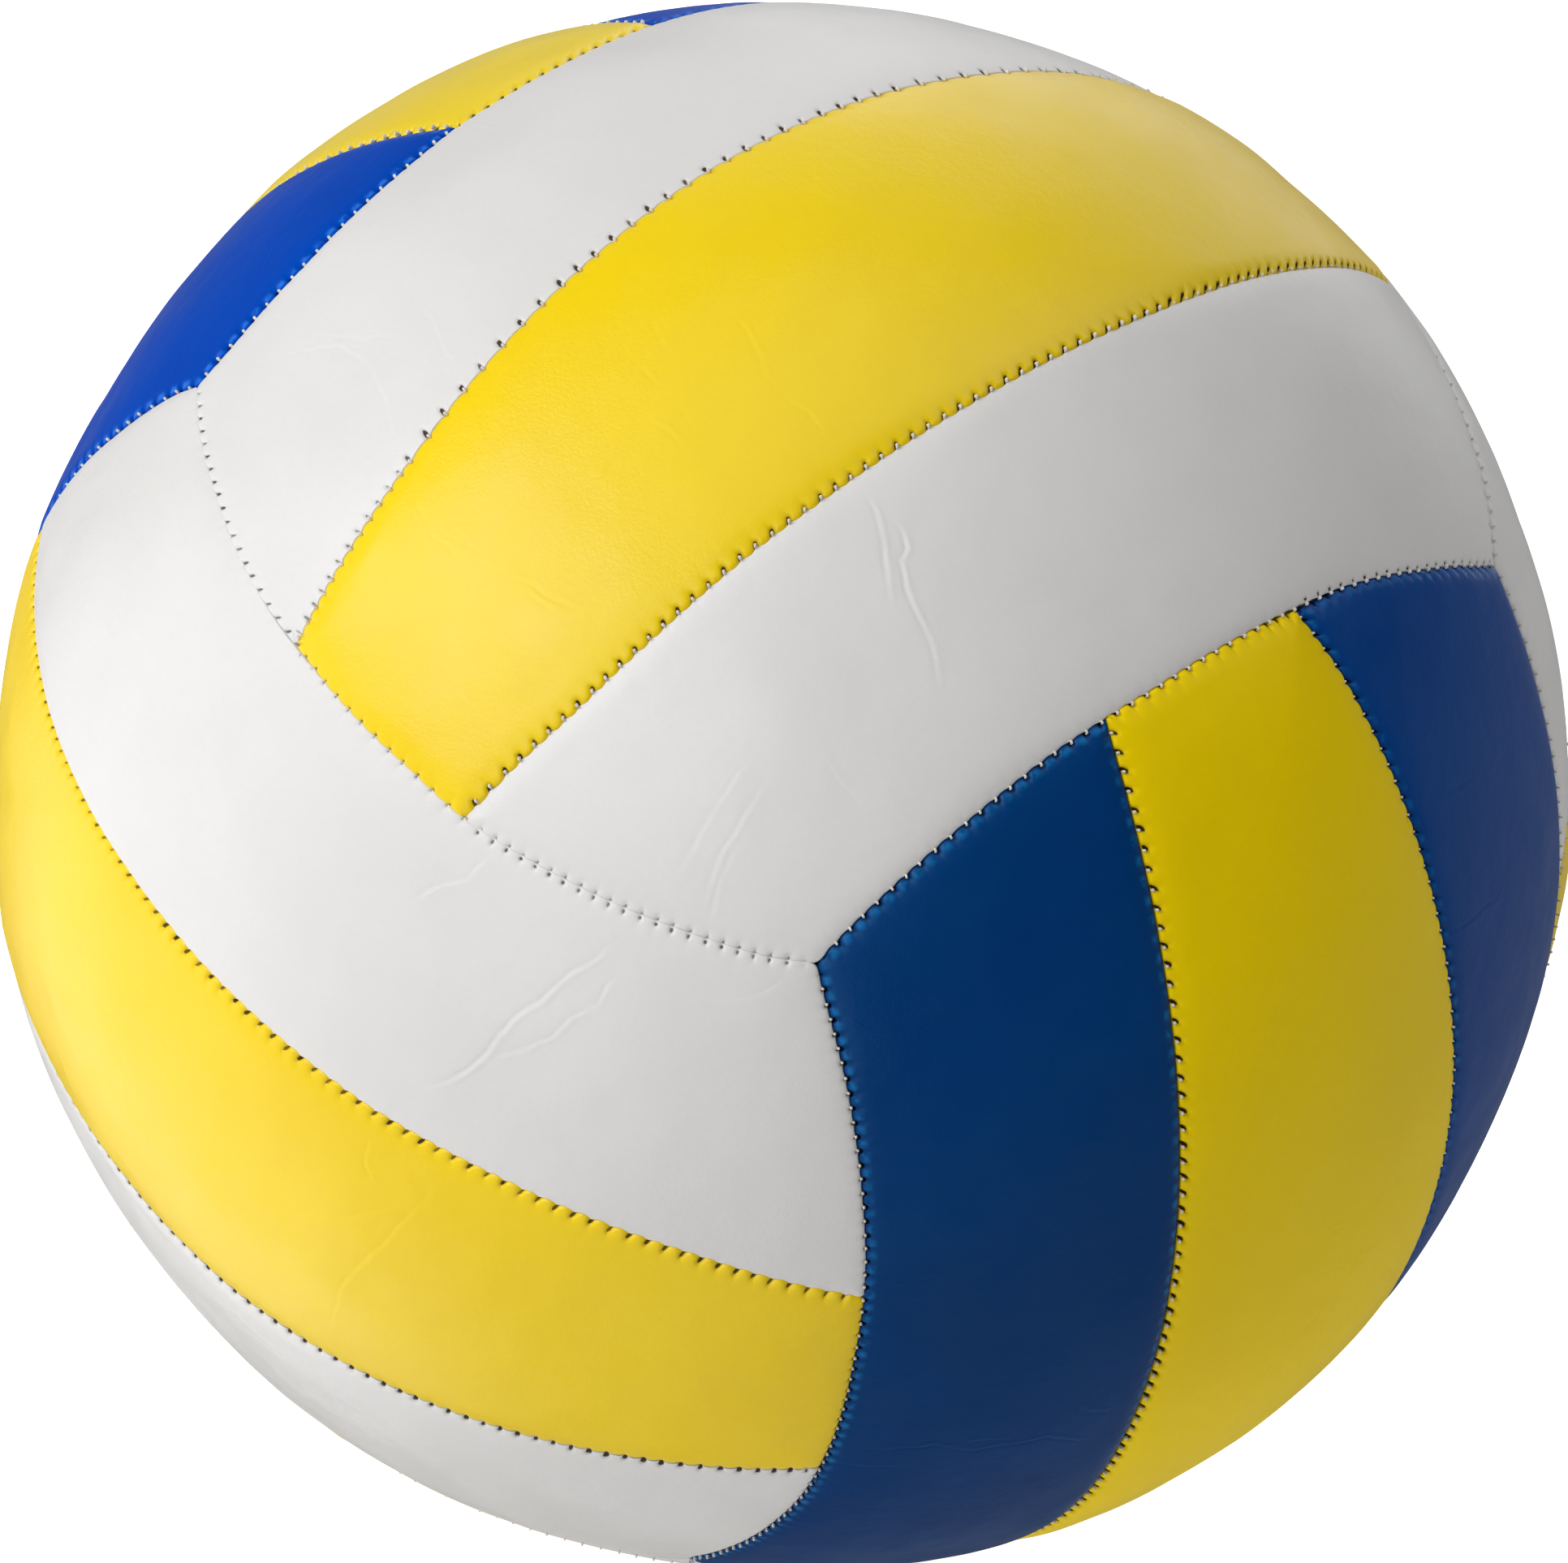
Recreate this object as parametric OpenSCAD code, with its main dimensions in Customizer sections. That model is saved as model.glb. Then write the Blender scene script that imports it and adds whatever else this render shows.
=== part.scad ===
// Machine-stitched volleyball with 18 panels, in millimetres.
// The origin is the centre of the ball, +Z is up and the valve faces +Y.

/* [Ball] */
// Diameter of the inflated ball
ball_d = 210; // [150:0.5:240]

/* [Seam pattern] */
// Tilt of the seams between two faces, where 0 is the edge of a plain cube
face_seam_tilt = 6.65; // [3:0.05:9]
// Tilt of the two seams inside a face
strip_seam_tilt = 11.35; // [8:0.05:14]
// Distance of a strip seam's plane from the centre, as a share of the ball's radius
strip_seam_share = 0.0429; // [0.03:0.0001:0.06]

/* [Panels] */
// Thickness of the leather
skin_t = 0.9; // [0.6:0.05:1.3]
// Thickness of the foam and lining cloth behind the leather
backing_t = 2.5; // [1.5:0.1:4]
// Film of glue between the leather and its backing
glue_t = 0.05; // [0.02:0.01:0.2]
// Space between the turned-in edges of two panels
seam_gap = 0.7; // [0.5:0.05:1]
// Radius of a panel's rolled edge
roll_r = 2.4; // [1.8:0.1:3]
// Angle at which the rolled edge meets the panel's face
roll_entry = 22; // [16:1:30]
// Distance that the turned-in edges lean away from the centre of the ball
edge_lean = 5; // [3:0.5:8]

/* [Stitching] */
// Diameter of the thread
thread_d = 0.6; // [0.3:0.05:0.9]
// Depth of the thread's line below the panels
thread_depth = 2.2; // [1.9:0.1:3]
// Depth of the top of a stitch below the panels
stitch_depth = 0.9; // [0.5:0.1:1.4]
// Distance from one stitch to the next
stitch_pitch = 2.65; // [2:0.05:6]
// Length of seam left without stitches at each end
seam_end = 2; // [1.5:0.1:4]

/* [Bladder] */
// Wall of the rubber bladder
bladder_t = 0.6; // [0.4:0.05:1.5]
// Space between the bladder and the lining cloth
bladder_gap = 0.1; // [0.05:0.05:0.5]

/* [Valve] */
// Diameter of the hole in the panel
valve_hole_d = 9; // [8:0.1:14]
// Running space around the valve's head and neck
valve_gap = 0.3; // [0.2:0.05:0.6]
// Depth of the valve's face below the ball's surface
valve_recess = 0.4; // [0.2:0.1:1]
// Height of the valve's head
head_h = 2.2; // [1.8:0.1:3]
// Diameter of the valve's shank
shank_d = 6.4; // [5:0.1:7]
// Length of the valve from its face to its tip
valve_l = 21; // [18:0.5:28]
// Diameter of the bead that keeps the valve in its seat
bead_d = 7.8; // [7.2:0.1:9]
// Height of the bead
bead_h = 1.6; // [1:0.1:2.5]
// Diameter of the needle's channel
channel_d = 2; // [1.6:0.1:2.4]
// Length of the needle's channel
channel_l = 9; // [7:0.5:12]
// Diameter of the channel's funnel at the valve's face
funnel_d = 4; // [3:0.1:5]
// Depth of the funnel
funnel_h = 0.8; // [0.5:0.1:1.2]
// Width of the slit that closes the valve
slit_w = 3; // [2:0.1:4]
// Opening of the slit
slit_t = 0.15; // [0.1:0.05:0.3]
// Outer diameter of the seat's neck
seat_d = 11; // [10:0.1:14]
// Depth of the seat's neck inside the bladder
seat_depth = 8; // [6:0.5:12]
// Diameter of the seat's flange
flange_d = 32; // [24:1:40]
// Thickness of the seat's flange
flange_t = 1; // [0.8:0.1:2]
// Diameter of the cloth patch around the hole
patch_d = 26; // [20:1:34]
// Thickness of the patch
patch_t = 0.5; // [0.3:0.05:0.8]

/* [Hidden] */
$fn = 180;

// Cutters run past the solid that they cut by this much
overrun = 1;

white = [0.93, 0.93, 0.92];
yellow = [0.96, 0.8, 0.06];
blue = [0.02, 0.2, 0.5];

ball_r = ball_d / 2;
// Inner surface of the backings, where the turned-in edges end too
lining_r = ball_r - skin_t - glue_t - backing_t;
bladder_r = lining_r - bladder_gap;
bladder_in_r = bladder_r - bladder_t;

// Seams between two faces: small circles through the eight corners of the cube
face_seam_angle = acos((cos(face_seam_tilt) - sin(face_seam_tilt)) / sqrt(3));
face_seam_half = asin(1 / (sqrt(3) * sin(face_seam_angle)));

// Seams inside a face: nearly great circles, cut by a plane
strip_seam_z = ball_r * strip_seam_share;
strip_seam_r = sqrt(ball_r ^ 2 - strip_seam_z ^ 2);
strip_ray = [
    strip_seam_r * cos(face_seam_tilt) * cos(strip_seam_tilt),
    strip_seam_r * sin(face_seam_tilt),
    ball_r * cos(face_seam_angle) + strip_seam_z * cos(face_seam_tilt) * sin(strip_seam_tilt)
];
strip_seam_half = acos(strip_ray[2] / norm([strip_ray[0], strip_ray[1]])) - atan2(strip_ray[1], strip_ray[0]);

// Rolled edge: an arc about a centre this far in from the panel's face and from its side
roll_in = roll_r * cos(roll_entry);
// Extra turn of a rolled edge's arc past the seam's ends
roll_turn = 6;

// The valve is drawn along Z, with Z measured from the centre of the ball
face_z = ball_r - valve_recess;
head_z = face_z - head_h;
seat_top_z = head_z - glue_t;
seat_end_z = bladder_in_r - seat_depth;
tip_z = face_z - valve_l;
channel_end_z = face_z - funnel_h - channel_l;

// Each face: name, direction faced, direction across its strips, colour of its outer strips, strips' names
FACES = [
    ["top", [0, 0, 1], [1, 0, 0], white, ["left", "centre", "right"]],
    ["bottom", [0, 0, -1], [-1, 0, 0], white, ["right", "centre", "left"]],
    ["front", [0, -1, 0], [0, 0, -1], white, ["upper", "centre", "lower"]],
    ["back", [0, 1, 0], [0, 0, 1], white, ["lower", "centre", "upper"]],
    ["right", [1, 0, 0], [0, 1, 0], blue, ["front", "centre", "rear"]],
    ["left", [-1, 0, 0], [0, -1, 0], blue, ["rear", "centre", "front"]]
];
valve_face = "back";
SIDES = [-1, 1];

function face_at(direction) = [for (face = FACES) if (face[1] == direction) face[0]][0];
function panel_name(face, strip) = str("panel_", face[0], "_", face[4][strip + 1]);
function backing_name(face, strip) = str("backing_", face[0], "_", face[4][strip + 1]);
function strip_thread_name(face) = str("stitching_", face[0], "_strips");
function face_thread_name(face, side) = str("stitching_", face[0], "_", face_at(side * face[2]));

// Turns the children so that their X and Z axes lie along two square directions
module aim(x, z) {
    y = cross(z, x);
    multmatrix([
        [x[0], y[0], z[0], 0],
        [x[1], y[1], z[1], 0],
        [x[2], y[2], z[2], 0]
    ]) children();
}

// A face's own frame: Z out of the face, X across its strips, Y along them
module on_face(face) aim(face[2], face[1]) children();

// A seam's own frame: Z along the seam's axis, X towards the middle of the seam
module on_side_seam(side) aim(
    [side * sin(face_seam_tilt), 0, cos(face_seam_tilt)],
    [side * cos(face_seam_tilt), 0, -sin(face_seam_tilt)]
) children();

module on_end_seam(side) aim(
    [0, side * cos(face_seam_tilt), sin(face_seam_tilt)],
    [0, -side * sin(face_seam_tilt), cos(face_seam_tilt)]
) children();

module on_strip_seam(side) aim(
    [side * sin(strip_seam_tilt), 0, cos(strip_seam_tilt)],
    [side * cos(strip_seam_tilt), 0, -sin(strip_seam_tilt)]
) children();

// Angle at the centre of the ball for a length of arc on its surface
function arc_turn(arc) = arc / ball_r * 180 / PI;

// Solid inside a cone whose wall meets the ball's surface at an angle from the cone's axis
module seam_cone(angle) {
    slope = ball_r * sin(angle) / (ball_r * cos(angle) - edge_lean);
    near = lining_r * cos(angle) / 2;
    far = ball_d - near;
    rotate([0, 0, 180]) translate([0, 0, near + edge_lean])
        cylinder(h = far, r1 = near * slope, r2 = (near + far) * slope);
}

// Everything above a height, or below it where side is -1
module half_space(z, side) translate([-ball_d, -ball_d, side > 0 ? z : z - ball_d])
    cube([2 * ball_d, 2 * ball_d, ball_d]);

// A whole shell, with its poles past the ends of the strips and its seam on the far side
module shell(top_r, bottom_r) rotate([-90, 0, 0]) rotate([0, 0, 90]) difference() {
    sphere(top_r);
    sphere(bottom_r);
}

// What a rolled edge leaves of a square corner, drawn with the panel's side on the Y axis
module roll_cutter(u, v, r) difference() {
    translate([-r, v]) square([u + r, ball_r - v + overrun]);
    translate([u, v]) circle(r);
}

module sweep_seam(half_turn) rotate([0, 0, -half_turn - roll_turn])
    rotate_extrude(angle = 2 * (half_turn + roll_turn)) children();

// Rolled edge along a seam between two faces. side is 1 outside the seam's circle and -1 inside it
module face_seam_roll(r, side) sweep_seam(face_seam_half)
    rotate(-face_seam_angle) mirror([side > 0 ? 0 : 1, 0])
        roll_cutter(seam_gap / 2 + roll_in, ball_r - roll_in, r);

// Rolled edge along a strip seam. side is 1 for an outer strip and -1 for the middle one
module strip_seam_roll(r, side) {
    u = seam_gap / 2 + roll_in;
    v = sqrt((ball_r - roll_in) ^ 2 - (strip_seam_z + side * u) ^ 2);
    sweep_seam(strip_seam_half)
        translate([0, strip_seam_z]) rotate(-90) mirror([side > 0 ? 1 : 0, 0])
            roll_cutter(u, v, r);
}

// One strip of a face down to bottom_r, drawn in by a depth from the panel's outer surface on every side
module strip_block(strip, depth, bottom_r) {
    inset = seam_gap / 2 + depth;
    difference() {
        intersection() {
            shell(ball_r - depth, bottom_r);
            on_end_seam(-1) seam_cone(face_seam_angle - arc_turn(inset));
            if (strip != 0) on_strip_seam(strip) half_space(strip_seam_z + inset, 1);
            if (strip == 0) on_strip_seam(-1) half_space(strip_seam_z - inset, -1);
            if (strip == 0) on_strip_seam(1) half_space(strip_seam_z - inset, -1);
            on_end_seam(1) seam_cone(face_seam_angle - arc_turn(inset));
        }
        if (strip != 0) on_side_seam(strip) seam_cone(face_seam_angle + arc_turn(inset));
        if (strip != 0) on_side_seam(strip) face_seam_roll(roll_r - depth, 1);
        if (strip != 0) on_strip_seam(strip) strip_seam_roll(roll_r - depth, 1);
        if (strip == 0) for (side = SIDES) on_strip_seam(side) strip_seam_roll(roll_r - depth, -1);
        for (side = SIDES) on_end_seam(side) face_seam_roll(roll_r - depth, -1);
    }
}

// Round hole along Z through a panel or its backing
module valve_bore(d) cylinder(h = ball_r + overrun, d = d);

function holds_valve(face, strip) = face[0] == valve_face && strip == 0;

// Leather strip with its four edges turned in
module panel(face, strip) on_face(face) difference() {
    strip_block(strip, 0, lining_r);
    strip_block(strip, skin_t, lining_r - overrun);
    if (holds_valve(face, strip)) valve_bore(valve_hole_d);
}

// Foam and lining cloth that fill the space behind the leather
module backing(face, strip) on_face(face) difference() {
    strip_block(strip, skin_t + glue_t, lining_r);
    if (holds_valve(face, strip)) valve_bore(seat_d + 2 * valve_gap);
    if (holds_valve(face, strip))
        patch_disc(patch_d + 2 * glue_t, skin_t + glue_t - overrun, patch_t + overrun + glue_t);
}

// Round piece of shell under the middle of a face, at a depth below the ball's surface
module patch_disc(d, depth, thickness) intersection() {
    shell(ball_r - depth, ball_r - depth - thickness);
    cylinder(h = ball_r + overrun, d = d);
}

// Point [radius, height] in a seam's frame at a depth below the surface, midway between two panels
function face_seam_point(depth) = let(
    top = ball_r * [sin(face_seam_angle), cos(face_seam_angle)],
    wall = top - [0, edge_lean]
) top - wall * depth / norm(wall);
function strip_seam_point(depth) = [sqrt((ball_r - depth) ^ 2 - strip_seam_z ^ 2), strip_seam_z];

// Thread along a seam, with a stitch that rises from it at every needle hole
module thread(low, high, half_turn) {
    arc_r = low[0];
    half = half_turn - seam_end / arc_r * 180 / PI;
    count = floor(2 * half / 180 * PI * arc_r / stitch_pitch);
    rise = high - low;
    rotate([0, 0, -half]) rotate_extrude(angle = 2 * half) translate(low) circle(d = thread_d, $fn = 24);
    for (i = [0:count - 1]) rotate([0, 0, half * (2 * i + 1 - count) / count])
        translate([low[0], 0, low[1]]) rotate([0, atan2(rise[0], rise[1]), 0])
            translate([0, 0, thread_d / 2 + glue_t])
                cylinder(h = norm(rise) - thread_d / 2 - glue_t, d = thread_d, $fn = 16);
}

module face_thread(face, side) on_face(face) on_side_seam(side)
    thread(face_seam_point(thread_depth), face_seam_point(stitch_depth), face_seam_half);

module strip_threads(face) on_face(face) for (side = SIDES) on_strip_seam(side)
    thread(strip_seam_point(thread_depth), strip_seam_point(stitch_depth), strip_seam_half);

module on_valve() for (face = FACES) if (face[0] == valve_face) on_face(face) children();

module bladder() on_valve() difference() {
    shell(bladder_r, bladder_in_r);
    valve_bore(seat_d + 2 * glue_t);
}

// Neck that the core is pushed into, with a flange bonded to the inside of the bladder
module valve_seat() on_valve() difference() {
    union() {
        translate([0, 0, seat_end_z]) cylinder(h = seat_top_z - seat_end_z, d = seat_d);
        patch_disc(flange_d, ball_r - bladder_in_r + glue_t, flange_t);
    }
    translate([0, 0, seat_end_z - overrun]) cylinder(h = valve_l, d = shank_d + 2 * glue_t);
}

// Rubber plug: head, shank, retaining bead and tapered tip, with the needle's channel and the slit below it
module valve_core() on_valve() difference() {
    head_r = valve_hole_d / 2 - valve_gap;
    shank_r = shank_d / 2;
    bead_z = seat_end_z - glue_t;
    funnel_z = face_z - funnel_h;
    rotate_extrude() polygon([
        [0, face_z],
        [head_r, face_z],
        [head_r, head_z],
        [shank_r, head_z],
        [shank_r, bead_z],
        [bead_d / 2, bead_z],
        [bead_d / 2, bead_z - bead_h / 2],
        [shank_r, bead_z - bead_h],
        [shank_r / 2, tip_z],
        [0, tip_z]
    ]);
    translate([0, 0, channel_end_z]) cylinder(h = valve_l, d = channel_d);
    translate([0, 0, funnel_z]) cylinder(h = funnel_h, d1 = channel_d, d2 = funnel_d);
    translate([-slit_w / 2, -slit_t / 2, tip_z - overrun])
        cube([slit_w, slit_t, channel_end_z - tip_z + overrun]);
}

// Cloth ring glued behind the leather around the valve's hole
module valve_patch() on_valve() difference() {
    patch_disc(patch_d, skin_t + glue_t, patch_t);
    valve_bore(valve_hole_d);
}

for (face = FACES, strip = [-1:1]) {
    tint = strip == 0 ? yellow : face[3];
    color(tint) panel(face, strip);
    color("ivory") backing(face, strip);
}
for (face = FACES) {
    color("beige") strip_threads(face);
    for (side = SIDES)
        color("beige") face_thread(face, side);
}
color("dimgray") bladder();
color("darkslategray") valve_seat();
color("black") valve_core();
color("gainsboro") valve_patch();
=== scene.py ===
"""Looks of a machine-stitched volleyball with 18 leather panels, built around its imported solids."""
import math

import bpy
import numpy as np
from mathutils import Matrix, Vector


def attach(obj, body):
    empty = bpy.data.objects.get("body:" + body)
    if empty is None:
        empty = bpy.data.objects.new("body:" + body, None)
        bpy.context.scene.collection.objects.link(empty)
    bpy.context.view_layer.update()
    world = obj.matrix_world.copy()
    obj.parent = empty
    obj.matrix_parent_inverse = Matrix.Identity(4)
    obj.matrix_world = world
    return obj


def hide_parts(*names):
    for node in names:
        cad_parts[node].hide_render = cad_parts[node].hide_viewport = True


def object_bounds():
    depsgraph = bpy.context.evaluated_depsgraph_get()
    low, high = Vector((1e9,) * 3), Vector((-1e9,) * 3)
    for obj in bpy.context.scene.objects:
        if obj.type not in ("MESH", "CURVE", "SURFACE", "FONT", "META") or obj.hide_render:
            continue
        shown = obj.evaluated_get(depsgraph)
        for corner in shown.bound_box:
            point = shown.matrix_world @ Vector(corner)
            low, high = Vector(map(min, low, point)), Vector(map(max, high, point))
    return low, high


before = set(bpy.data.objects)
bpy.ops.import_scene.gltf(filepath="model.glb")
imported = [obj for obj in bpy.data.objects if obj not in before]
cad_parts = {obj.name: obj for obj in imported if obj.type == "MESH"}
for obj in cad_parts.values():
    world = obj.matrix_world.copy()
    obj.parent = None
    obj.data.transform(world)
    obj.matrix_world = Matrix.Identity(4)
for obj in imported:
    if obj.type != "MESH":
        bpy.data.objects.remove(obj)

cad_box = [list(corner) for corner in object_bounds()]

# Lengths are millimetres on the ball until a mesh is made, which takes metres
MM = 0.001
BALL_R = 105.0

# Seam pattern, as in the part's source
FACE_TILT = math.radians(6.65)
STRIP_TILT = math.radians(11.35)
STRIP_SHARE = 0.0429
FACE_ANGLE = math.acos((math.cos(FACE_TILT) - math.sin(FACE_TILT)) / math.sqrt(3))
STRIP_ANGLE = math.acos(STRIP_SHARE)

# Camera axes: to the right, up, and towards the camera
CAM_X = np.array((0.66205, 0.73591, 0.14189))
CAM_X /= np.linalg.norm(CAM_X)
CAM_Z = np.array((0.43225, -0.52958, 0.72987))
CAM_Z /= np.linalg.norm(CAM_Z)
CAM_Y = np.cross(CAM_Z, CAM_X)

# How far the ball is out of round along its outline as the camera sees it, every 10 degrees anticlockwise
OUT_OF_ROUND = np.array((
    -0.1, -0.15, -0.4, 0, 0.55, -0.32, 0.12, -0.15, -0.22, -0.1, 0, 0, -0.15, 0.28, -0.15, -0.52, 0.22, -0.48,
    -0.6, 0.8, 0.42, -0.05, -0.05, 0.1, 0, -0.25, -0.5, -0.55, 0.2, 0.4, 0.3, 0.45, 0.7, 0, -0.2, -0.3))
OUTLINE_REACH = 0.4

# Each face: name, direction faced, direction across its strips, leather of its outer strips, strips' names
FACES = (
    ("top", (0, 0, 1), (1, 0, 0), "white", ("left", "centre", "right")),
    ("bottom", (0, 0, -1), (-1, 0, 0), "white", ("right", "centre", "left")),
    ("front", (0, -1, 0), (0, 0, -1), "white", ("upper", "centre", "lower")),
    ("back", (0, 1, 0), (0, 0, 1), "white", ("lower", "centre", "upper")),
    ("right", (1, 0, 0), (0, 1, 0), "blue", ("front", "centre", "rear")),
    ("left", (-1, 0, 0), (0, -1, 0), "blue", ("rear", "centre", "front")),
)
VALVE_PANEL = ("back", 0)

# A panel's rolled edge: how far in it starts, its depth and curve, the crease at its lip, how square its corners
# are and how sharply its edges' relief meets there, half the gap between two panels, the depths of its turned-in
# wall, and the leather's thickness
ROLL_W = 3.3
ROLL_D = 0.55
ROLL_POWER = 2.3
LIP_W = 0.16
LIP_D = 0.35
CORNER_POWER, BLEND_POWER = 16.0, 8
HALF_GAP = 0.005
WALL_DEPTHS = (2.2, 2.9)
SKIN_T = 0.95

# How a panel swells between its seams: middle strip, outer strip, and the shoulder along every edge
CROWN_MIDDLE, CROWN_OUTER, CROWN_REACH = 0.75, -0.25, 9
SHOULDER_D, SHOULDER_REACH = 0.25, 4

# Size of the noise's random table, and a shift that keeps the ball's middle off its corners
NOISE_N, NOISE_SHIFT = 32, 100.37
# Soft unevenness of the leather as (height, cell, seed), and how far from an edge it is full
SWELLS = ((0.16, 17, 5), (0.07, 7, 6), (0.03, 3.1, 7))
SWELL_FADE = 5

# How far in from its edge a panel follows the seam's wander, its scallops and its gap
WANDER_REACH, SCALLOP_REACH, GAP_REACH = 10, 2.4, 2
# A seam's wander fades out over this length at the ends of seams shorter than LONG_SEAM
WANDER_FADE, LONG_SEAM = 7, 80

# Stitches: the first one's distance from the seam's end, the spread of the pitch, the spread of each value, the
# lengths of the fine crimps beside them, and how the relief starts at the seam's end
FIRST_STITCH = 1.6
PITCH_SPREAD = (0.93, 1.07)
SPREADS = (("over", 0.75, 1.25), ("bead", 0.7, 1.3), ("pinch", 0.75, 1.25), ("hole_r", 0.75, 1.2),
           ("hole_u", 0.85, 1.15), ("hole_l", 0.75, 1.25))
CRIMP_LENGTHS = (0.5, 3.0)
END_PLAIN, END_FADE = 0.8, 1.5
# Scallop between two stitches: how round it is, and its mean
WAVE_POWER, WAVE_MEAN = 0.75, 0.45
# Relief at a stitch: where the bead is highest, the dent's half width, the needle hole's depth, spread and least
# size, the crimp's height and half width, how far a side dips under the other, and where all of it has ended
BEAD_U = 0.45
DENT_W = 0.42
HOLE_D, HOLE_SPREAD, HOLE_LEAST = 0.45, 1.2, 0.05
CRIMP_D, CRIMP_W = 0.035, 0.7
SINK_REACH = 0.6
STITCH_REACH = 12

# Creases: half width of the valley, the ridge's place, width and height beside it, the half widths of fine mesh and
# of relief, how a line strays and its depth varies as (amount, cell, seed), its mean depth, the shares of its length
# over which it starts and ends, and how far from an edge it is full
CREASE_W = 0.27
RIDGE_AT, RIDGE_W, RIDGE_H = 2.1 * CREASE_W, 1.5 * CREASE_W, 0.75
CREASE_REACH, CREASE_NEAR = 1.7, 3
CREASE_STRAY, CREASE_SPREAD, CREASE_MEAN = (0.3, 2.2, 40), (0.5, 3, 60), 0.8
CREASE_START, CREASE_END, CREASE_FADE = 0.2, 0.25, 1.2

# Creases of a panel out of view: their number and points, how far from the panel's middle they are along and across
# it, half length, bend, stray and depth, the distance between two strips' middles, and the flat they are drawn on
OWN_CREASES, OWN_POINTS = 3, 7
OWN_ALONG, OWN_ACROSS, OWN_HALF = 60, 6, (6, 13)
OWN_BEND, OWN_STRAY, OWN_DEPTH = 2, 0.6, (0.03, 0.07)
STRIP_STEP, OWN_PLANE = 33.5, 85

# Hole for the valve: its mesh rings as (radius, depth), its radius under the leather, points in a ring, and the
# blocks of the outer mesh and cells of the inner sheet left out on each side
HOLE_RINGS = ((7.0, 0), (6.2, 0), (5.5, 0), (5.0, 0.01), (4.75, 0.06), (4.6, 0.16), (4.52, 0.3), (4.5, 0.5))
HOLE_UNDER_R = 5.8
HOLE_N = 64
HOLE_BLOCKS = 8
HOLE_CELLS = 4

# Distances from an edge of the finest rows of a panel's mesh, the cells across and along a panel between them,
# the widest block of cells, and the inner sheet's step in cells and distance from the edge in rows
BAND = np.array((0, 0.03, 0.1, 0.22, 0.38, 0.56, 0.76, 0.98, 1.22, 1.5, 1.8))
BAND_N = len(BAND) - 1
MIDDLE_CELLS, OUTER_CELLS = (188, 756), (156, 732)
BLOCK = 4
SHEET_STEP, SHEET_INSET = 8, 6
# The sheet comes down to the wall over this width
SHEET_FALL = 0.9


def smooth(x):
    """0 below 0, 1 above 1, and a smooth step between."""
    x = np.clip(x, 0, 1)
    return x * x * (3 - 2 * x)


def unit(v):
    return v / np.linalg.norm(v, axis=-1, keepdims=True)


def noise(points, cell, seed):
    """Smooth random field from -1 to 1 on points, with features of one cell."""
    table = np.random.default_rng(seed).uniform(-1, 1, (NOISE_N, NOISE_N, NOISE_N))
    q = points / cell + NOISE_SHIFT
    low = np.floor(q).astype(int)
    f = q - low
    f = f * f * (3 - 2 * f)
    total = 0
    for corner in np.ndindex(2, 2, 2):
        share = np.prod([f[:, a] if corner[a] else 1 - f[:, a] for a in range(3)], axis=0)
        total = total + share * table[tuple(((low + corner) % NOISE_N).T)]
    return total


def out_of_round(p):
    turn = np.degrees(np.arctan2(p @ CAM_Y, p @ CAM_X)) % 360
    off = np.interp(turn, np.arange(0, 361, 10), np.append(OUT_OF_ROUND, OUT_OF_ROUND[0]))
    return off * np.exp(-(p @ CAM_Z / OUTLINE_REACH) ** 2)


# What one side of a seam looks like at a stitch, in millimetres: how far it bulges over the other side between
# stitches, the height of that bulge, the depth and reach of the dent at the stitch, the needle hole's distance
# from the edge, its half width along the seam and half length across it, how far it leans along the seam for
# each millimetre across, how far this side dips under the other, and how strongly it rolls in and creases there
# lip also sets how dark the shade painted along the seam's lip is
RELIEF = ("over", "bead", "pinch", "reach", "hole_u", "hole_r", "hole_l", "lean", "sink", "roll", "lip")


def side(over=0.0, bead=0.1, pinch=0.2, reach=1.0, hole_u=0.6, hole_r=0.0, hole_l=0.4, lean=0.0, sink=0.0, roll=1.0,
         lip=0.5):
    return dict(zip(RELIEF, (over, bead, pinch, reach, hole_u, hole_r, hole_l, lean, sink, roll, lip)))


def part_of(parts, s):
    """The entry for a place along the seam, where parts is one entry or a list of (upper end, entry)."""
    if not isinstance(parts, list):
        return parts
    return next((entry for end, entry in parts if s < end), parts[-1][1])


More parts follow.
